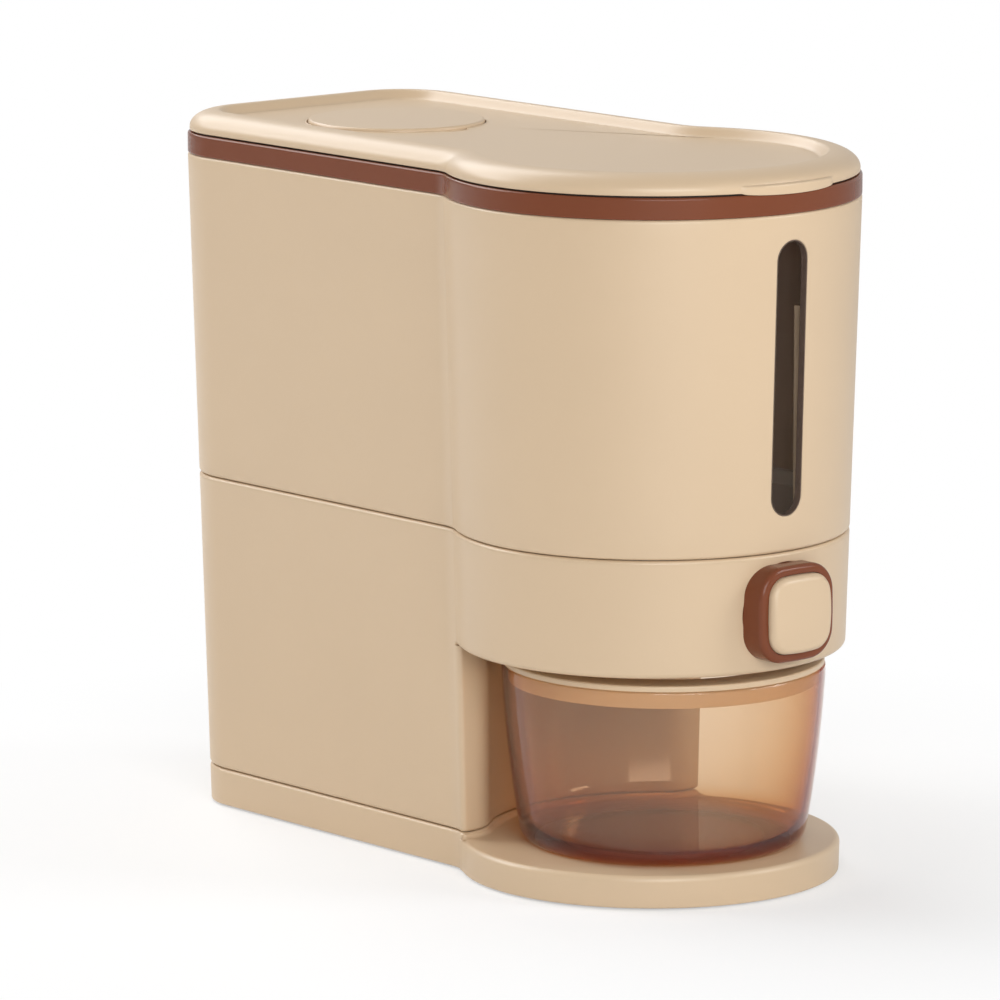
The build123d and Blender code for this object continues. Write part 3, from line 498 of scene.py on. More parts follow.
def satin_moulding(graph, rgb, rough=0.36):
    """Satin moulded plastic: a fine spark-eroded grain, faint flow clouds and slightly uneven gloss."""
    clouds = graph.noise(14.0, 3.0)
    grain = graph.noise(1900.0, 2.0, 0.6)
    pits = graph.noise(520.0, 2.0, 0.5)
    gloss = rough - 0.05 + 0.06 * clouds + 0.05 * grain
    tint = graph.blend(0.6 * clouds + 0.4 * grain, shade(rgb, 0.955), shade(rgb, 1.045))
    fine = graph.bump(grain, 0.16, 0.06 * MM)
    normal = graph.bump(pits, 0.05, 0.08 * MM, fine)
    graph.surface(base_color=tint, roughness=gloss, normal=normal, ior=1.5)


def gloss_moulding(graph, rgb, rough=0.17):
    """Polished brown plastic: a clear gloss with fine handling scratches and faint flow marks."""
    clouds = graph.noise(30.0, 3.0)
    scratch = graph.noise(160.0, 3.0, 0.7, (1.0, 1.0, 9.0))
    dust = graph.noise(900.0, 2.0)
    gloss = rough + 0.06 * clouds * scratch + 0.02 * dust
    tint = graph.blend(0.8 * clouds + 0.2 * dust, shade(rgb, 0.94), shade(rgb, 1.06))
    normal = graph.bump(scratch, 0.012, 0.05 * MM)
    graph.surface(base_color=tint, roughness=gloss, normal=normal, ior=1.31)


def clear_moulding(graph, rgb, depth, rough):
    """Tinted clear plastic: the tint is what light keeps after the given depth of the plastic, so thick
    places are darker. Its polished skin mirrors a share of base + (1 - base) * facing^5, with a faint
    moulding wave and slightly uneven polish."""
    waves = graph.noise(45.0, 2.0)
    smears = graph.noise(18.0, 4.0, 0.6)
    lost = [-math.log(channel) / depth for channel in rgb]
    density = 1.25 * max(lost)
    keeps = (*(1 - channel / density for channel in lost), 1.0)
    body = graph.add("ShaderNodeVolumeAbsorption", {}, {"Color": keeps, "Density": density})
    wave = graph.bump(waves, 0.05, 0.25 * MM)
    clear = {"Base Color": (*rgb, 1.0), "Alpha": 0.01 + 0.03 * smears, "Roughness": 0.3, "Normal": wave}
    mirror = {"Base Color": (1.0, 1.0, 1.0, 1.0), "Metallic": 1.0, "Normal": wave}
    mirror["Roughness"] = rough + 0.05 * smears
    facing = graph.add("ShaderNodeLayerWeight", {}, {"Blend": 0.5, "Normal": wave}, out="Facing")
    square = facing * facing
    base = 0.04
    share = base + (1 - base) * square * square * facing
    skin = graph.add("ShaderNodeMixShader", {}, {
        0: share,
        1: graph.add("ShaderNodeBsdfPrincipled", {}, clear),
        2: graph.add("ShaderNodeBsdfPrincipled", {}, mirror),
    })
    graph.add("ShaderNodeOutputMaterial", {}, {"Surface": skin, "Volume": body})


def smoked_film(graph, rgb, cover):
    """Thin smoked plastic: a dark film that covers a share of what lies behind it, denser in faint
    clouds, with a polished skin."""
    clouds = graph.noise(24.0, 3.0)
    smears = graph.noise(60.0, 4.0, 0.6)
    tint = graph.blend(clouds, shade(rgb, 0.85), shade(rgb, 1.15))
    graph.surface(base_color=tint, roughness=0.05 + 0.05 * smears, alpha=cover - 0.04 + 0.08 * clouds)


def soft_rubber(graph, rgb):
    """Dull rubber with a fine bloom."""
    bloom = graph.noise(220.0, 3.0)
    tint = graph.blend(bloom, shade(rgb, 0.8), shade(rgb, 1.4))
    graph.surface(base_color=tint, roughness=0.6 + 0.2 * bloom, normal=graph.bump(bloom, 0.1, 0.05 * MM))


def plated_steel(graph, rough):
    """Bright drawn or plated steel with fine draw lines."""
    lines = graph.noise(700.0, 2.0, 0.5, (1.0, 1.0, 0.1))
    tint = graph.blend(lines, (0.50, 0.50, 0.50), (0.66, 0.66, 0.65))
    graph.surface(base_color=tint, metallic=1.0, roughness=rough + 0.15 * lines)


def finish(name):
    """A finish by name, made when first asked for."""
    if name in bpy.data.materials:
        return bpy.data.materials[name]
    look = bpy.context.scene.dispenser_look
    material = bpy.data.materials.new(name)
    graph = Graph(material)
    makers = {
        "beige_satin": lambda: satin_moulding(graph, look.beige),
        "ivory_satin": lambda: satin_moulding(graph, look.ivory, rough=0.5),
        "brown_gloss": lambda: gloss_moulding(graph, look.brown),
        "amber_clear": lambda: clear_moulding(graph, look.amber, depth=1.3 * MM, rough=0.06),
        "smoke_clear": lambda: smoked_film(graph, look.smoke, cover=0.085),
        "dark_rubber": lambda: soft_rubber(graph, look.rubber),
        # Dark rubber of the window seal, which also paints shade on the slot's wall and round the lens
        "umber_rubber": lambda: soft_rubber(graph, look.umber),
        "bright_steel": lambda: plated_steel(graph, rough=0.22),
    }
    makers[name]()
    return material


# Rings that lie on the drum's leaning front wall, round a hole


def drum_point(x, z, depth):
    """Points on the drum's leaning front wall: the plan radius is the drum's less the lean and the
    depth, and the point sits where that circle has the wanted x."""
    radius = DRUM_RADIUS - lean(z) - depth
    y = DRUM_Y - np.sqrt(radius**2 - x**2)
    return np.stack([x, y, z], axis=-1)


def on_drum(loop, middle, depth):
    """A loop of (x, z) about a middle height, laid on the front wall at a depth."""
    return drum_point(loop[:, 0], middle + loop[:, 1], depth)


def window_outline(aim, grow):
    """The window slot's outline in (x, z): a box with fully round ends, grown by a rim."""
    sizes = bpy.context.scene.dispenser_sizes
    high = LENS_HALF - sizes.lens_flange
    wide = sizes.window_width / 2
    return soft_box(aim, wide + grow, high + grow, wide + grow)


def bezel_outline(aim, grow):
    """The soft square outline of the bezel's hole in (x, z), grown by a rim."""
    sizes = bpy.context.scene.dispenser_sizes
    grow = grow + sizes.bezel_gap
    wide, high = sizes.bezel_width / 2, sizes.bezel_height / 2
    return soft_box(aim, wide + grow, high + grow, sizes.bezel_corner + grow, sizes.bezel_bulge)


def hole_rings(outline, middle, edge, wall, lip):
    """Rings that lead from the border of a gap in the front wall to a hole, over the hole's rounded
    lip, through the wall and back to the border on the inside. The border is given as angles from the
    front and heights from the hole's middle. Between border and hole, angle and height are mixed."""
    aim = np.stack([np.sin(edge[:, 0]) * (DRUM_RADIUS - lean(middle)), edge[:, 1]], 1)
    ring_shares = (1.0, 0.75, 0.5, 0.3, 0.15, 0.05)
    rings = []
    for depth, rim, shares in ((0.0, lip, ring_shares), (wall, 0.0, ring_shares[::-1])):
        hole = outline(aim, rim)
        angle = np.arcsin(hole[:, 0] / (DRUM_RADIUS - lean(middle + hole[:, 1]) - depth))
        for share in shares:
            turned = angle + share * (edge[:, 0] - angle)
            z = middle + hole[:, 1] + share * (edge[:, 1] - hole[:, 1])
            rings.append(drum_point(np.sin(turned) * (DRUM_RADIUS - lean(z) - depth), z, depth))
        if depth == 0:
            for gain, rest in zip(*quarter(6)):
                rings.append(on_drum(outline(aim, lip * rest), middle, lip * gain))
            rings.append(on_drum(outline(aim, 0.0), middle, wall))
    return np.stack(rings)


def front_gap(faces, columns, starts, rows):
    """Marks the faces of a wall grid that a hole's rings take the place of: the columns on both sides
    of the front, and a run of rows from each start."""
    drop = np.zeros(faces, bool)
    near = np.r_[-columns:columns]
    for start in starts:
        drop[start:start + rows, near] = True
    return drop


def leaning_wall(outline, levels, foot, head, wall, steps):
    """The body's leaning wall, carried up the outside over a rounded foot, the levels and a rounded head,
    and down again inside. Foot and head are given as outer height, inner height and rounding. Also gives
    the rows at which the levels start, outside and inside."""
    gain, rest = (row[:, None] for row in quarter(steps))
    levels = levels[:, None]
    low, top = foot[0] + foot[2] * gain, head[0] - head[2] * rest
    inside = np.concatenate([[[head[1]]], levels[::-1], [[foot[1]]]])
    walls = np.concatenate([
        carried(outline, lean(low) + foot[2] * rest, low),
        carried(outline, lean(levels), levels),
        carried(outline, lean(top) + head[2] * gain, top),
        carried(outline, lean(inside) + wall, inside),
    ])
    return walls, (steps, 2 * steps + len(levels) + 1)


class DISPENSER_OT_upper_bin(bpy.types.Operator):
    """The leaning rice bin with its window slot and the two ribs behind it"""

    bl_idname = "dispenser.upper_bin"
    bl_label = "Upper bin"

    def execute(self, context):
        sizes = context.scene.dispenser_sizes
        wall, seam = sizes.bin_wall, sizes.seam
        middle = LENS_Z
        high = LENS_HALF + sizes.window_end
        wide = sizes.window_width / 2 + sizes.window_side
        columns, rows = 12, 64
        angle = math.asin(wide / (DRUM_RADIUS - lean(middle)))
        outline = keyhole(angle, columns)
        levels = middle + np.linspace(-high, high, rows + 1)
        low = PART_LINE + sizes.seam_gap / 2
        head = (BAND_BASE, BAND_BASE, seam)
        walls, starts = leaning_wall(outline, levels, (low, low, seam), head, wall, 7)
        skin = Skin()
        skin.grid(walls, round_rows=True, drop=front_gap(walls.shape[:2], columns, starts, rows))
        edge = border(angle, high, columns, rows)
        skin.grid(hole_rings(window_outline, middle, edge, wall, sizes.window_lip))
        self.ribs(skin, sizes)
        skin.piece("bin_shell", finish("beige_satin"), "housing", ["upper_bin"])
        return {"FINISHED"}

    def ribs(self, skin, sizes):
        """Two upright bars on the inside beside the lens: four corners carried up the leaning wall."""
        root_share = 0.6
        top = LENS_HIGH.z - sizes.lens_flange - sizes.rib_drop
        z = np.linspace(LENS_LOW.z + sizes.lens_flange, top, 12)[:, None]
        near = sizes.window_width / 2 + sizes.lens_flange + sizes.lens_gap
        far = near + sizes.rib_wall
        deep = drum_point(0.0, z[0, 0], sizes.bin_wall + sizes.rib_depth)[1]
        for side in (-1, 1):
            bar = np.zeros((len(z), 4, 3))
            bar[:, :, 0] = side * np.array([near, far, far, near])
            bar[:, :, 2] = z
            bar[:, :2, 1] = drum_point(bar[:, :2, 0], bar[:, :2, 2], root_share * sizes.bin_wall)[..., 1]
            bar[:, 2:, 1] = deep
            skin.tube(bar)


class DISPENSER_OT_window(bpy.types.Operator):
    """The smoked lens, and the dark seal that lines its slot: partly a real seal, partly painted shade on
    the slot's wall
    """

    bl_idname = "dispenser.window"
    bl_label = "Window"

    def execute(self, context):
        sizes = context.scene.dispenser_sizes
        inner = -sizes.sleeve - 2 * sizes.lens_play
        gain, rest = quarter(6)
        edge_grow = inner - sizes.lens_edge * rest
        edge_depth = sizes.lens_recess + sizes.lens_edge * gain
        flange, seat, back = sizes.lens_flange, sizes.lens_seat, sizes.lens_back
        front = [(share, edge_grow[0], sizes.lens_recess) for share in (0.0, 0.4, 0.8)]
        rim = [(1.0, grow, depth) for grow, depth in zip(edge_grow, edge_depth)]
        rear = [(share, flange, back) for share in (1.0, 0.8, 0.4, 0.0)]
        skin = Skin()
        skin.grid(self.rings(front + rim + [(1.0, inner, seat), (1.0, flange, seat)] + rear))
        skin.piece("lens_pane", finish("smoke_clear"), "housing", ["window_lens"])
        # The seal's dark lining runs along the slot's wall from the lens's front: partly a real seal,
        # partly painted shade on the wall and in the gap round the lens
        low, high = -sizes.sleeve - sizes.lens_play, -sizes.lens_play
        tip, wall, end = sizes.lens_recess, sizes.bin_wall + sizes.lens_play, seat - sizes.lens_play
        seal = [(low, tip), (high, tip), (high, wall), (flange, wall), (flange, end), (low, end)]
        skin = Skin()
        skin.grid(self.rings([(1.0, grow, depth) for grow, depth in seal]), round_rows=True)
        skin.piece("lens_seal", finish("umber_rubber"), "housing", ["window_gasket"])
        return {"FINISHED"}

    def rings(self, rows):
        """Rings on the drum's wall, one for each row of share, rim and depth: the slot's outline grown by
        the rim, drawn towards the slot's middle by the share, at the depth under the wall."""
        aim = border(bpy.context.scene.dispenser_sizes.window_width / 2, LENS_HALF, 20, 40)
        return np.stack([
            on_drum(share * window_outline(aim, grow), LENS_Z, depth) for share, grow, depth in rows
        ])


class DISPENSER_OT_band(bpy.types.Operator):
    """The brown band between bin and lid"""

    bl_idname = "dispenser.band"
    bl_label = "Band"

    def execute(self, context):
        sizes = context.scene.dispenser_sizes
        skirt_outer = sizes.bin_wall + sizes.band_skirt_gap
        inner = skirt_outer + sizes.band_skirt_wall
        low = BAND_BASE - sizes.band_skirt
        corners = [
            (0, BAND_BASE), (0, BAND_TOP), (inner, BAND_TOP),
            (inner, low), (skirt_outer, low), (skirt_outer, BAND_BASE),
        ]
        rounding = sizes.band_rounding
        radii = [rounding / 2, rounding, rounding / 2, rounding / 3, rounding / 3, rounding / 5]
        skin = Skin()
        profile = corner_arcs(corners, radii)
        skin.grid(carried(keyhole(), *profile.T[:, :, None]), round_rows=True)
        skin.piece("band_ring", finish("brown_gloss"), "housing", ["band"])
        return {"FINISHED"}


# The column under the bin, which goes round the back of the cup


def rear_columns(outline):
    """The columns of an outline that lie behind the horns' roundings, also where the wall leans most."""
    sizes = bpy.context.scene.dispenser_sizes
    depth = outline[0][:, 1] - lean(sizes.tray_top) * outline[1][:, 1]
    return np.flatnonzero(depth > sizes.column_front + sizes.horn_rounding)


def column_rings(outline, heights, insets):
    """The column's plan at each height, drawn in by an inset. Going round: the body's outline behind
    the horns, then for each horn a rounding (a parabola between side and front), the flat front and a
    large rounding into the bay, and between the horns the bay's arc about the cup's axis."""
    sizes = bpy.context.scene.dispenser_sizes
    heights, insets = heights[:, None], insets[:, None]
    keep = rear_columns(outline)
    side = carried([rows[keep] for rows in outline], lean(heights) + insets, heights)[..., :2]
    front = sizes.column_front + insets
    round_in, bay = sizes.horn_bay_rounding, sizes.bay_radius
    rise = sizes.column_front + round_in - CUP_Y
    middle_x = math.sqrt((bay + round_in) ** 2 - rise**2)
    lean_in = math.atan2(middle_x, rise)
    turn = np.linspace(0, lean_in, 14)
    radius = round_in - insets
    horn = np.stack([middle_x - radius * np.sin(turn), CUP_Y + rise - radius * np.cos(turn)], 2)
    sweep = np.linspace(-lean_in, lean_in, 40)[1:-1]
    radius = bay + insets
    arc = np.stack([radius * np.sin(sweep), CUP_Y + radius * np.cos(sweep)], 2)
    way = np.linspace(0, 1, 8)[1:]

    def corner(end, before, sign):
        """From a side's end to the flat front, drawn to the point where side and front would meet."""
        slope = (end - before)[:, :1] / (end - before)[:, 1:]
        meet = end[:, :1] + slope * (front - end[:, 1:])
        last = meet - sign * sizes.horn_rounding
        x = end[:, :1] * (1 - way) ** 2 + 2 * meet * way * (1 - way) + last * way**2
        y = end[:, 1:] * (1 - way) ** 2 + front * (1 - (1 - way) ** 2)
        return np.stack([x, y], 2)

    left = corner(side[:, -1], side[:, -2], -1)
    right = corner(side[:, 0], side[:, 1], 1)
    plan = np.concatenate([side, left, horn * FLIP, arc, horn[:, ::-1], right[:, ::-1]], axis=1)
    return raised(plan, heights)


def front_share(outline):
    """For each place along an outline, 1 in front of the column and 0 behind, with a half where it is
    reached from behind."""
    share = np.ones(len(outline[0]))
    share[rear_columns(outline)] = 0
    return share * (share + np.roll(share, 1)) / 2


class DISPENSER_OT_lower_housing(bpy.types.Operator):
    """The lower housing: the drum's front over the cup with the bezel's hole, and the hollow column"""

    bl_idname = "dispenser.lower_housing"
    bl_label = "Lower housing"

    def execute(self, context):
        sizes = context.scene.dispenser_sizes
        wall, seam = sizes.shell_wall, sizes.seam
        under = sizes.overhang
        middle = BUTTON_Z
        high = sizes.bezel_height / 2 + sizes.bezel_end
        wide = sizes.bezel_width / 2 + sizes.bezel_side
        columns, rows = 16, 28
        angle = math.asin(wide / (DRUM_RADIUS - lean(middle)))
        outline = keyhole(angle, columns)
        levels = middle + np.linspace(-high, high, rows + 1)
        rounding = min(sizes.overhang_rounding, levels[0] - under) * front_share(outline)[None]
        top = PART_LINE - sizes.seam_gap / 2
        foot = (under, under + wall, rounding)
        walls, starts = leaning_wall(outline, levels, foot, (top, top, seam), wall, 9)
        skin = Skin()
        skin.grid(walls, drop=front_gap((len(walls) - 1, walls.shape[1]), columns, starts, rows))
        edge = border(angle, high, columns, rows)
        skin.grid(hole_rings(bezel_outline, middle, edge, wall, sizes.bezel_lip))
        # The flat underside and the floor inside, with the spout's hole between them
        spokes = walls[0, :, :2] - (0, CUP_Y)
        hole = soft_box(spokes, sizes.spout_width / 2, sizes.spout_depth / 2, sizes.spout_corner)
        mouth = raised((hole + (0, CUP_Y))[None], under)[0]
        skin.grid(np.stack([walls[0], (walls[0] + mouth) / 2, mouth, mouth + (0, 0, wall), walls[-1]]))
        self.column(skin, outline, sizes)
        skin.piece("housing_shell", finish("beige_satin"), "housing", ["lower_housing"])
        return {"FINISHED"}

    def column(self, skin, outline, sizes):
        """The hollow column: its plan carried down from the underside to a rounded foot, then up again
        inside, closed at the top."""
        seam = sizes.seam
        gain, rest = quarter(7)
        foot = sizes.skirt_top + sizes.seam_gap / 2
        levels = np.linspace(sizes.overhang + HAIR, foot + 2 * seam, 12)
        z = np.concatenate([levels, foot + seam * rest, [foot, sizes.overhang - sizes.column_roof]])
        inset = np.concatenate([np.zeros(len(levels)), seam * gain, [sizes.shell_wall] * 2])
        skin.tube(column_rings(outline, z, inset))


class DISPENSER_OT_base(bpy.types.Operator):
    """The base: a low skirt under the column and the tray that the cup stands on"""

    bl_idname = "dispenser.base"
    bl_label = "Base"

    def execute(self, context):
        sizes = context.scene.dispenser_sizes
        low, top, edge = BASE_LOW.z, sizes.tray_top, sizes.foot_edge
        outline = keyhole()
        share = front_share(outline)[None]
        gain, rest = (row[:, None] for row in quarter(9))
        rounding = sizes.tray_rounding * share
        proud = sizes.tray_proud * share
        foot = low + edge * rest
        sides = np.linspace(low + 2 * edge, top - sizes.tray_rounding - sizes.tray_hold, 6)[:, None]
        head = top - rounding * rest
        walls = np.concatenate([
            carried(outline, lean(foot) - proud + edge * gain, foot)[::-1],
            carried(outline, lean(sides) - proud, sides),
            carried(outline, lean(head) - proud + rounding * gain, head),
        ])
        levels = np.array([[low], [sizes.base_ceiling]])
        inside = carried(outline, lean(levels) + sizes.base_wall, levels)
        skin = Skin()
        skin.tube(np.concatenate([inside[::-1], walls]))
        self.step(skin, outline, sizes)
        skin.piece("base_tray", finish("beige_satin"), "housing", ["base"])
        return {"FINISHED"}

    def step(self, skin, outline, sizes):
        """The low step on the tray that carries the column, its rounded upper edge, and in front a
        hollow cove: a quarter arc between tray and step."""
        seam, top = sizes.seam, sizes.tray_top
        gain, rest = quarter(7)
        foot = [top - sizes.step_root, top + HAIR, top + sizes.step_rise]
        head = sizes.skirt_top - sizes.seam_gap / 2
        z = np.concatenate([foot, head - seam * rest, [head, head - seam]])
        inset = np.concatenate([[seam, 0, 0], seam * gain, [3 * seam, 3 * seam]])
        skin.tube(column_rings(outline, z, inset))
        cove = sizes.step_cove
        gain, rest = quarter(9)
        height = np.append(top + cove * gain, top - sizes.cove_root)
        rings = column_rings(outline, height, np.append(-cove * rest, sizes.cove_back))
        first = len(rear_columns(outline))
        skin.tube(np.swapaxes(rings[:, first + 2:-2], 0, 1))


class DISPENSER_OT_lid(bpy.types.Operator):
    """The lid: a broad rounded rim, a thumb lip at the front, a sunken top and the round cap's well"""

    bl_idname = "dispenser.lid"
    bl_label = "Lid"

    def execute(self, context):
        sizes = context.scene.dispenser_sizes
        lip_angle, lip_columns = 0.34, 36
        outline = keyhole(lip_angle, lip_columns)
        edge = BAND_TOP + sizes.lid_gap
        land = BAND_TOP + sizes.lid_land
        rim, crest, hollow = sizes.lid_inset, sizes.lid_crest, sizes.lid_hollow
        floor, sheet, plug, soft = sizes.lid_floor, sizes.lid_wall, sizes.lid_plug, sizes.lid_rounding
        plug_in, foot_in = plug + sizes.lid_plug_wall, rim + sizes.lid_foot_wall
        # The underside from the floor's edge out to the foot of the rim
        under = corner_arcs(
            [
                (hollow, floor - sheet), (hollow - sizes.lid_slope, floor - sheet),
                (crest, LID_TOP - sheet), (plug_in, land + sheet), (plug_in, LID_LOW.z), (plug, LID_LOW.z),
                (plug, land), (foot_in, land), (foot_in, edge), (rim + sizes.lid_edge, edge),
            ],
            [0, soft, 2 * soft, 0.5 * soft, 0.3 * soft, 0.3 * soft, 0.2 * soft, 0.2 * soft, 0, 0],
        )
        lip_top = edge + sizes.lip_height
        start = math.asin((lip_top - land) / (LID_TOP - land))
        plain, lip = self.rim_feet(rim, edge, land, crest, start, sizes)
        dome = self.dome(np.linspace(start, math.pi / 2, 26), rim, land, crest)
        way = np.linspace(0, 1, 16)[1:, None]
        ease = way * way * (3 - 2 * way)
        valley = np.concatenate([crest + way * (hollow - crest), LID_TOP + ease * (floor - LID_TOP)], 1)
        across = outline[0][:, 0] / (sizes.lip_width / 2)
        share = np.where(outline[0][:, 1] < DRUM_Y, np.sqrt(np.clip(1 - across**2, 0, 1)), 0.0)
        foot = plain[:, None] + share[None, :, None] * (lip - plain)[:, None]
        under, dome, valley = (carried(outline, *rows.T[:, :, None]) for rows in (under, dome[1:], valley))
        rim_rings = np.concatenate([under, carried(outline, foot[..., 0], foot[..., 1]), dome, valley])
        # The floor of the hollow, the well with its ledge, and the floor's underside
        spokes = rim_rings[-1, :, :2] - (0, VENT_Y)
        spokes = spokes / np.linalg.norm(spokes, axis=1, keepdims=True)
        well = VENT_RADIUS + sizes.well_gap
        ledge, thick = sizes.well_ledge, sizes.well_wall
        lowest, small = floor - sizes.well_depth, sizes.well_edge
        bore = corner_arcs(
            [
                (well, floor), (well, lowest + thick), (ledge, lowest + thick), (ledge, lowest),
                (well + thick, lowest), (well + thick, floor - sheet),
            ],
            [1.75 * small, small, small, 1.5 * small, 1.5 * small, 0],
            steps=4,
        )
        rings = carried((np.array([[0, VENT_Y]]), -spokes), *bore.T[:, :, None])
        rings = self.notch(rings, spokes, floor, well, sizes)
        way_shares = (0.15, 0.5, 0.8, 0.95)
        mixed = [rim_rings[-1] + share * (rings[0] - rim_rings[-1]) for share in way_shares]
        skin = Skin()
        skin.grid(np.concatenate([rim_rings, mixed, rings]), round_rows=True)
        skin.piece("lid_shell", finish("beige_satin"), "lid", ["lid"])
        return {"FINISHED"}

    def dome(self, swing, rim, land, crest):
        """The rim's elliptic arc, from the land's height at the rim to the lid's top at the crest."""
        return np.stack([crest - (crest - rim) * np.cos(swing), land + (LID_TOP - land) * np.sin(swing)], 1)

    def rim_feet(self, rim, edge, land, crest, start, sizes):
        """The rim's foot with and without the thumb lip, row for row: without it the rim goes straight
        up into the dome's elliptic arc, with it a rounded shelf stands proud and ends in a crease."""
        dome = self.dome(np.linspace(0, start, 12), rim, land, crest)
        gain, rest = quarter(6)
        rounding = sizes.lid_edge * np.stack([rest, gain], 1)
        plain = np.concatenate([rounding + (rim, edge), dome])
        out, low = rim - sizes.lip_proud, edge - sizes.lip_drop
        foot = rounding + (out, low)
        shelf = edge + sizes.lip_height - sizes.lip_crease
        gain, rest = quarter(9)
        shoulder = sizes.lip_shoulder * np.stack([gain, -rest], 1) + (out, shelf)
        inward = np.linspace(shoulder[-1], dome[-1], 4)[1:]
        return plain, np.concatenate([foot, shoulder, inward])

    def notch(self, rings, spokes, floor, well, sizes):
        """The finger notch: in front of the cap the well's upper rows move out and form a small step."""
        angle = np.abs(np.arctan2(spokes[:, 0], -spokes[:, 1]))
        steep = 1.6
        share = np.clip(steep * (1 - (angle * well / (sizes.notch_width / 2)) ** 2), 0, 1)
        upper = rings[:, :, 2] > floor - sizes.notch_depth
        rings[..., :2] += (sizes.notch_reach * share * upper)[..., None] * spokes
        return rings


class DISPENSER_OT_mechanism(bpy.types.Operator):
    """Finishes of the frame's own solids"""

    bl_idname = "dispenser.mechanism"
    bl_label = "Mechanism finishes"

    def execute(self, context):
        by_slot = {
            "body_plastic": "beige_satin",
            "brown_plastic": "brown_gloss",
            "smoked_window": "smoke_clear",
            "clear_cup": "amber_clear",
            "inner_plastic": "ivory_satin",
            "soft_seal": "dark_rubber",
            "foot_rubber": "dark_rubber",
            "spring_steel": "bright_steel",
            "screw_steel": "bright_steel",
        }
        for part in frame["record"]["subparts"]:
            node = frame["nodes"][part["node"]]
            node.data.materials.clear()
            node.data.materials.append(finish(by_slot[part["material_slot"]]))
        return {"FINISHED"}


class DISPENSER_OT_spring(bpy.types.Operator):
    """The coil spring behind the gate"""

    bl_idname = "dispenser.spring"
    bl_label = "Return spring"

    def execute(self, context):
        """The coil is a helix about a level axis: the wire's middle turns at the coil's radius and goes
        back evenly, and a small circle of the wire's radius is carried along it."""
        sizes = context.scene.dispenser_sizes
        wire = sizes.spring_wire / 2
        radius = (SPRING_HIGH.x - SPRING_LOW.x) / 2 - wire
        middle = (SPRING_LOW.z + SPRING_HIGH.z) / 2
        long = SPRING_HIGH.y - SPRING_LOW.y
        coils, steps, sides = 9, 32, 10
        turn = np.linspace(0, 2 * math.pi * coils, steps * coils + 1)[:, None]
        round_wire = full_turn(sides)[None]
        reach = radius + wire * np.cos(round_wire)
        way = SPRING_LOW.y + wire + (long - 2 * wire) * turn / turn[-1] + wire * np.sin(round_wire)
        skin = Skin()
        skin.tube(np.stack([reach * np.cos(turn), way, middle + reach * np.sin(turn)], axis=2))
        steel = finish("bright_steel")
        coil = skin.piece("spring_coil", steel, "housing", ["return_spring"])
        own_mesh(coil)
        return {"FINISHED"}


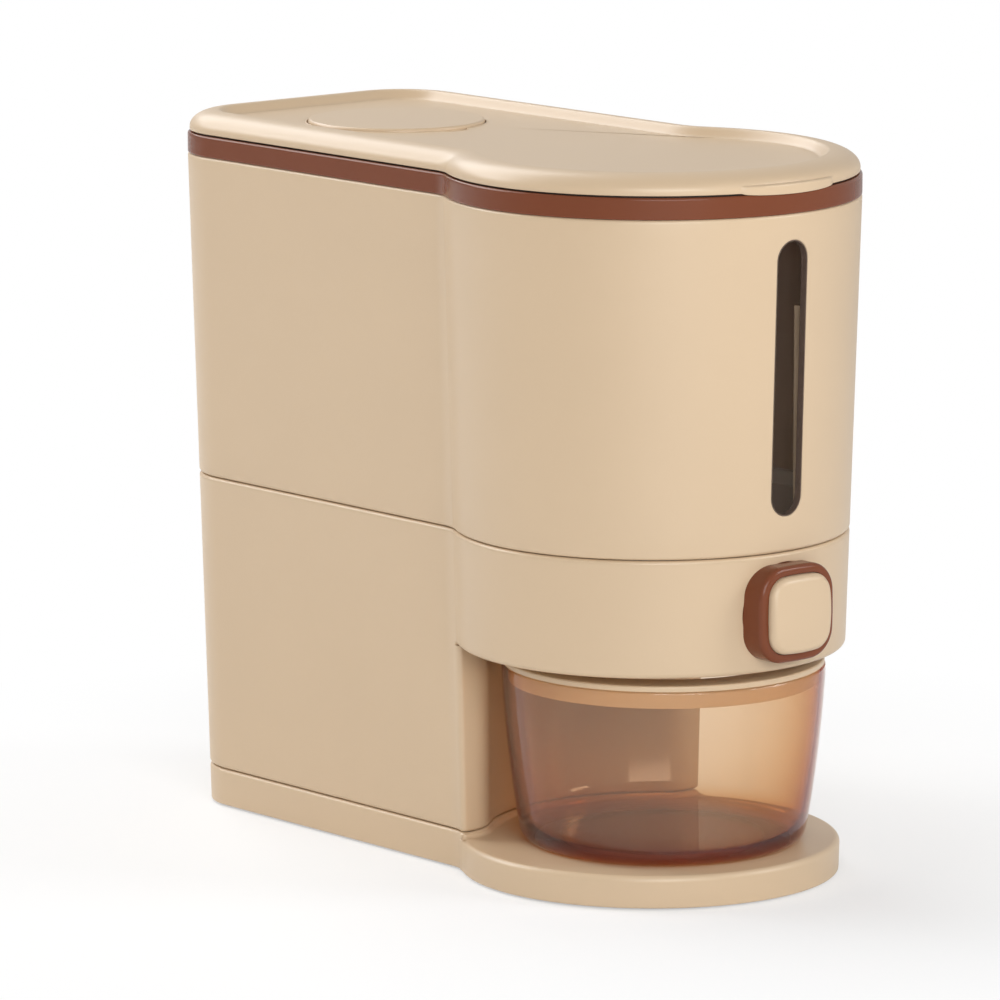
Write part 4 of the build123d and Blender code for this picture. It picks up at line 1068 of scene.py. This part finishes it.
class DISPENSER_OT_stage(bpy.types.Operator):
    """Floor, soft lamps, white surround and the camera"""

    bl_idname = "dispenser.stage"
    bl_label = "Stage"

    def execute(self, context):
        look = context.scene.dispenser_look
        self.floor()
        self.surround(look.ambient, look.mirror)
        for name, (_, place, aim, size) in LAMPS.items():
            self.lamp(f"{name}_lamp", getattr(look, name), place, aim, size)
        context.scene.camera = self.camera()
        context.scene.view_settings.view_transform = "Standard"
        return {"FINISHED"}

    def floor(self):
        """A round floor whose rings run out from under the object and fade into the surround."""
        reach, near, far, least = 3.0, 0.18, 0.42, 0.50
        angle = full_turn(96)
        ring = np.stack([np.cos(angle), np.sin(angle), np.zeros_like(angle)], 1)
        skin = Skin()
        skin.grid(np.linspace(0, reach, 24)[:, None, None] * ring[None])
        material = bpy.data.materials.new("pale_floor")
        graph = Graph(material)
        place = graph.add("ShaderNodeTexCoord", out="Object")
        away = graph.add("ShaderNodeVectorMath", {"operation": "LENGTH"}, {0: place}, out=1)
        sockets = {"Value": away, "From Min": near, "From Max": far, "To Min": least}
        fade = graph.add("ShaderNodeMapRange", {"clamp": True}, sockets)
        matt = graph.add("ShaderNodeBsdfDiffuse", {}, {"Color": (0.93, 0.93, 0.93, 1.0)})
        white = graph.add("ShaderNodeEmission", {}, {"Color": (1, 1, 1, 1), "Strength": 1.0})
        path = graph.add("ShaderNodeLightPath", out="Is Camera Ray")
        mix = graph.add("ShaderNodeMixShader", {}, {0: fade * path, 1: matt, 2: white})
        graph.add("ShaderNodeOutputMaterial", {}, {"Surface": mix})
        skin.made("floor", material)

    def surround(self, ambient, mirror):
        """White to the camera and through clear pieces, quieter in reflections, still quieter as light."""
        world = bpy.data.worlds.new("surround")
        bpy.context.scene.world = world
        graph = Graph(world)
        camera, glossy, through = (
            graph.add("ShaderNodeLightPath", out=f"Is {kind} Ray")
            for kind in ("Camera", "Glossy", "Transmission")
        )
        level = camera.larger(through) * (1.0 - ambient) + glossy * (mirror - ambient) + ambient
        back = graph.add("ShaderNodeBackground", {}, {"Color": (1, 1, 1, 1), "Strength": level})
        graph.add("ShaderNodeOutputWorld", {}, {"Surface": back})

    def aimed(self, data, place, aim):
        """A lamp or camera at a place, turned to an aim."""
        made = bpy.data.objects.new(data.name, data)
        made.location = place
        made.rotation_euler = (Vector(aim) - Vector(place)).to_track_quat("-Z", "Y").to_euler()
        bpy.context.scene.collection.objects.link(made)
        return made

    def lamp(self, name, power, place, aim, size):
        """A soft rectangular lamp."""
        data = bpy.data.lights.new(name, "AREA")
        data.shape = "RECTANGLE"
        data.size, data.size_y = size
        data.energy = power
        self.aimed(data, place, aim)

    def camera(self):
        """The photograph's viewpoint, found from the marked sizes."""
        data = bpy.data.cameras.new("camera")
        data.sensor_width = 36.0
        data.lens = 256.14
        data.clip_end = 50.0
        return self.aimed(data, place=(-2.0120, -2.3269, 0.7040), aim=(-0.00981, 0.01289, 0.15132))


class DISPENSER_PT_panel(bpy.types.Panel):
    """Lists the steps that dress the dispenser"""

    bl_idname = "DISPENSER_PT_panel"
    bl_label = "Rice dispenser"
    bl_space_type = "VIEW_3D"
    bl_region_type = "UI"
    bl_category = "Dispenser"

    def draw(self, context):
        for operator in OPERATORS:
            self.layout.operator(operator.bl_idname)
        for group in (context.scene.dispenser_sizes, context.scene.dispenser_look):
            for name in group.__annotations__:
                self.layout.prop(group, name)


OPERATORS = (
    DISPENSER_OT_mechanism,
    DISPENSER_OT_upper_bin,
    DISPENSER_OT_window,
    DISPENSER_OT_lower_housing,
    DISPENSER_OT_base,
    DISPENSER_OT_band,
    DISPENSER_OT_lid,
    DISPENSER_OT_spring,
    DISPENSER_OT_stage,
)
CLASSES = (DispenserSizes, DispenserLook, *OPERATORS, DISPENSER_PT_panel)


def register():
    """Registers the classes and the settings."""
    for item in CLASSES:
        bpy.utils.register_class(item)
    bpy.types.Scene.dispenser_sizes = PointerProperty(type=DispenserSizes)
    bpy.types.Scene.dispenser_look = PointerProperty(type=DispenserLook)


def unregister():
    """Takes the classes and the settings out again."""
    del bpy.types.Scene.dispenser_look
    del bpy.types.Scene.dispenser_sizes
    for item in reversed(CLASSES):
        bpy.utils.unregister_class(item)


def main():
    """Builds every piece in order."""
    register()
    for operator in OPERATORS:
        group, name = operator.bl_idname.split(".")
        getattr(getattr(bpy.ops, group), name)()


if __name__ == "__main__":
    main()
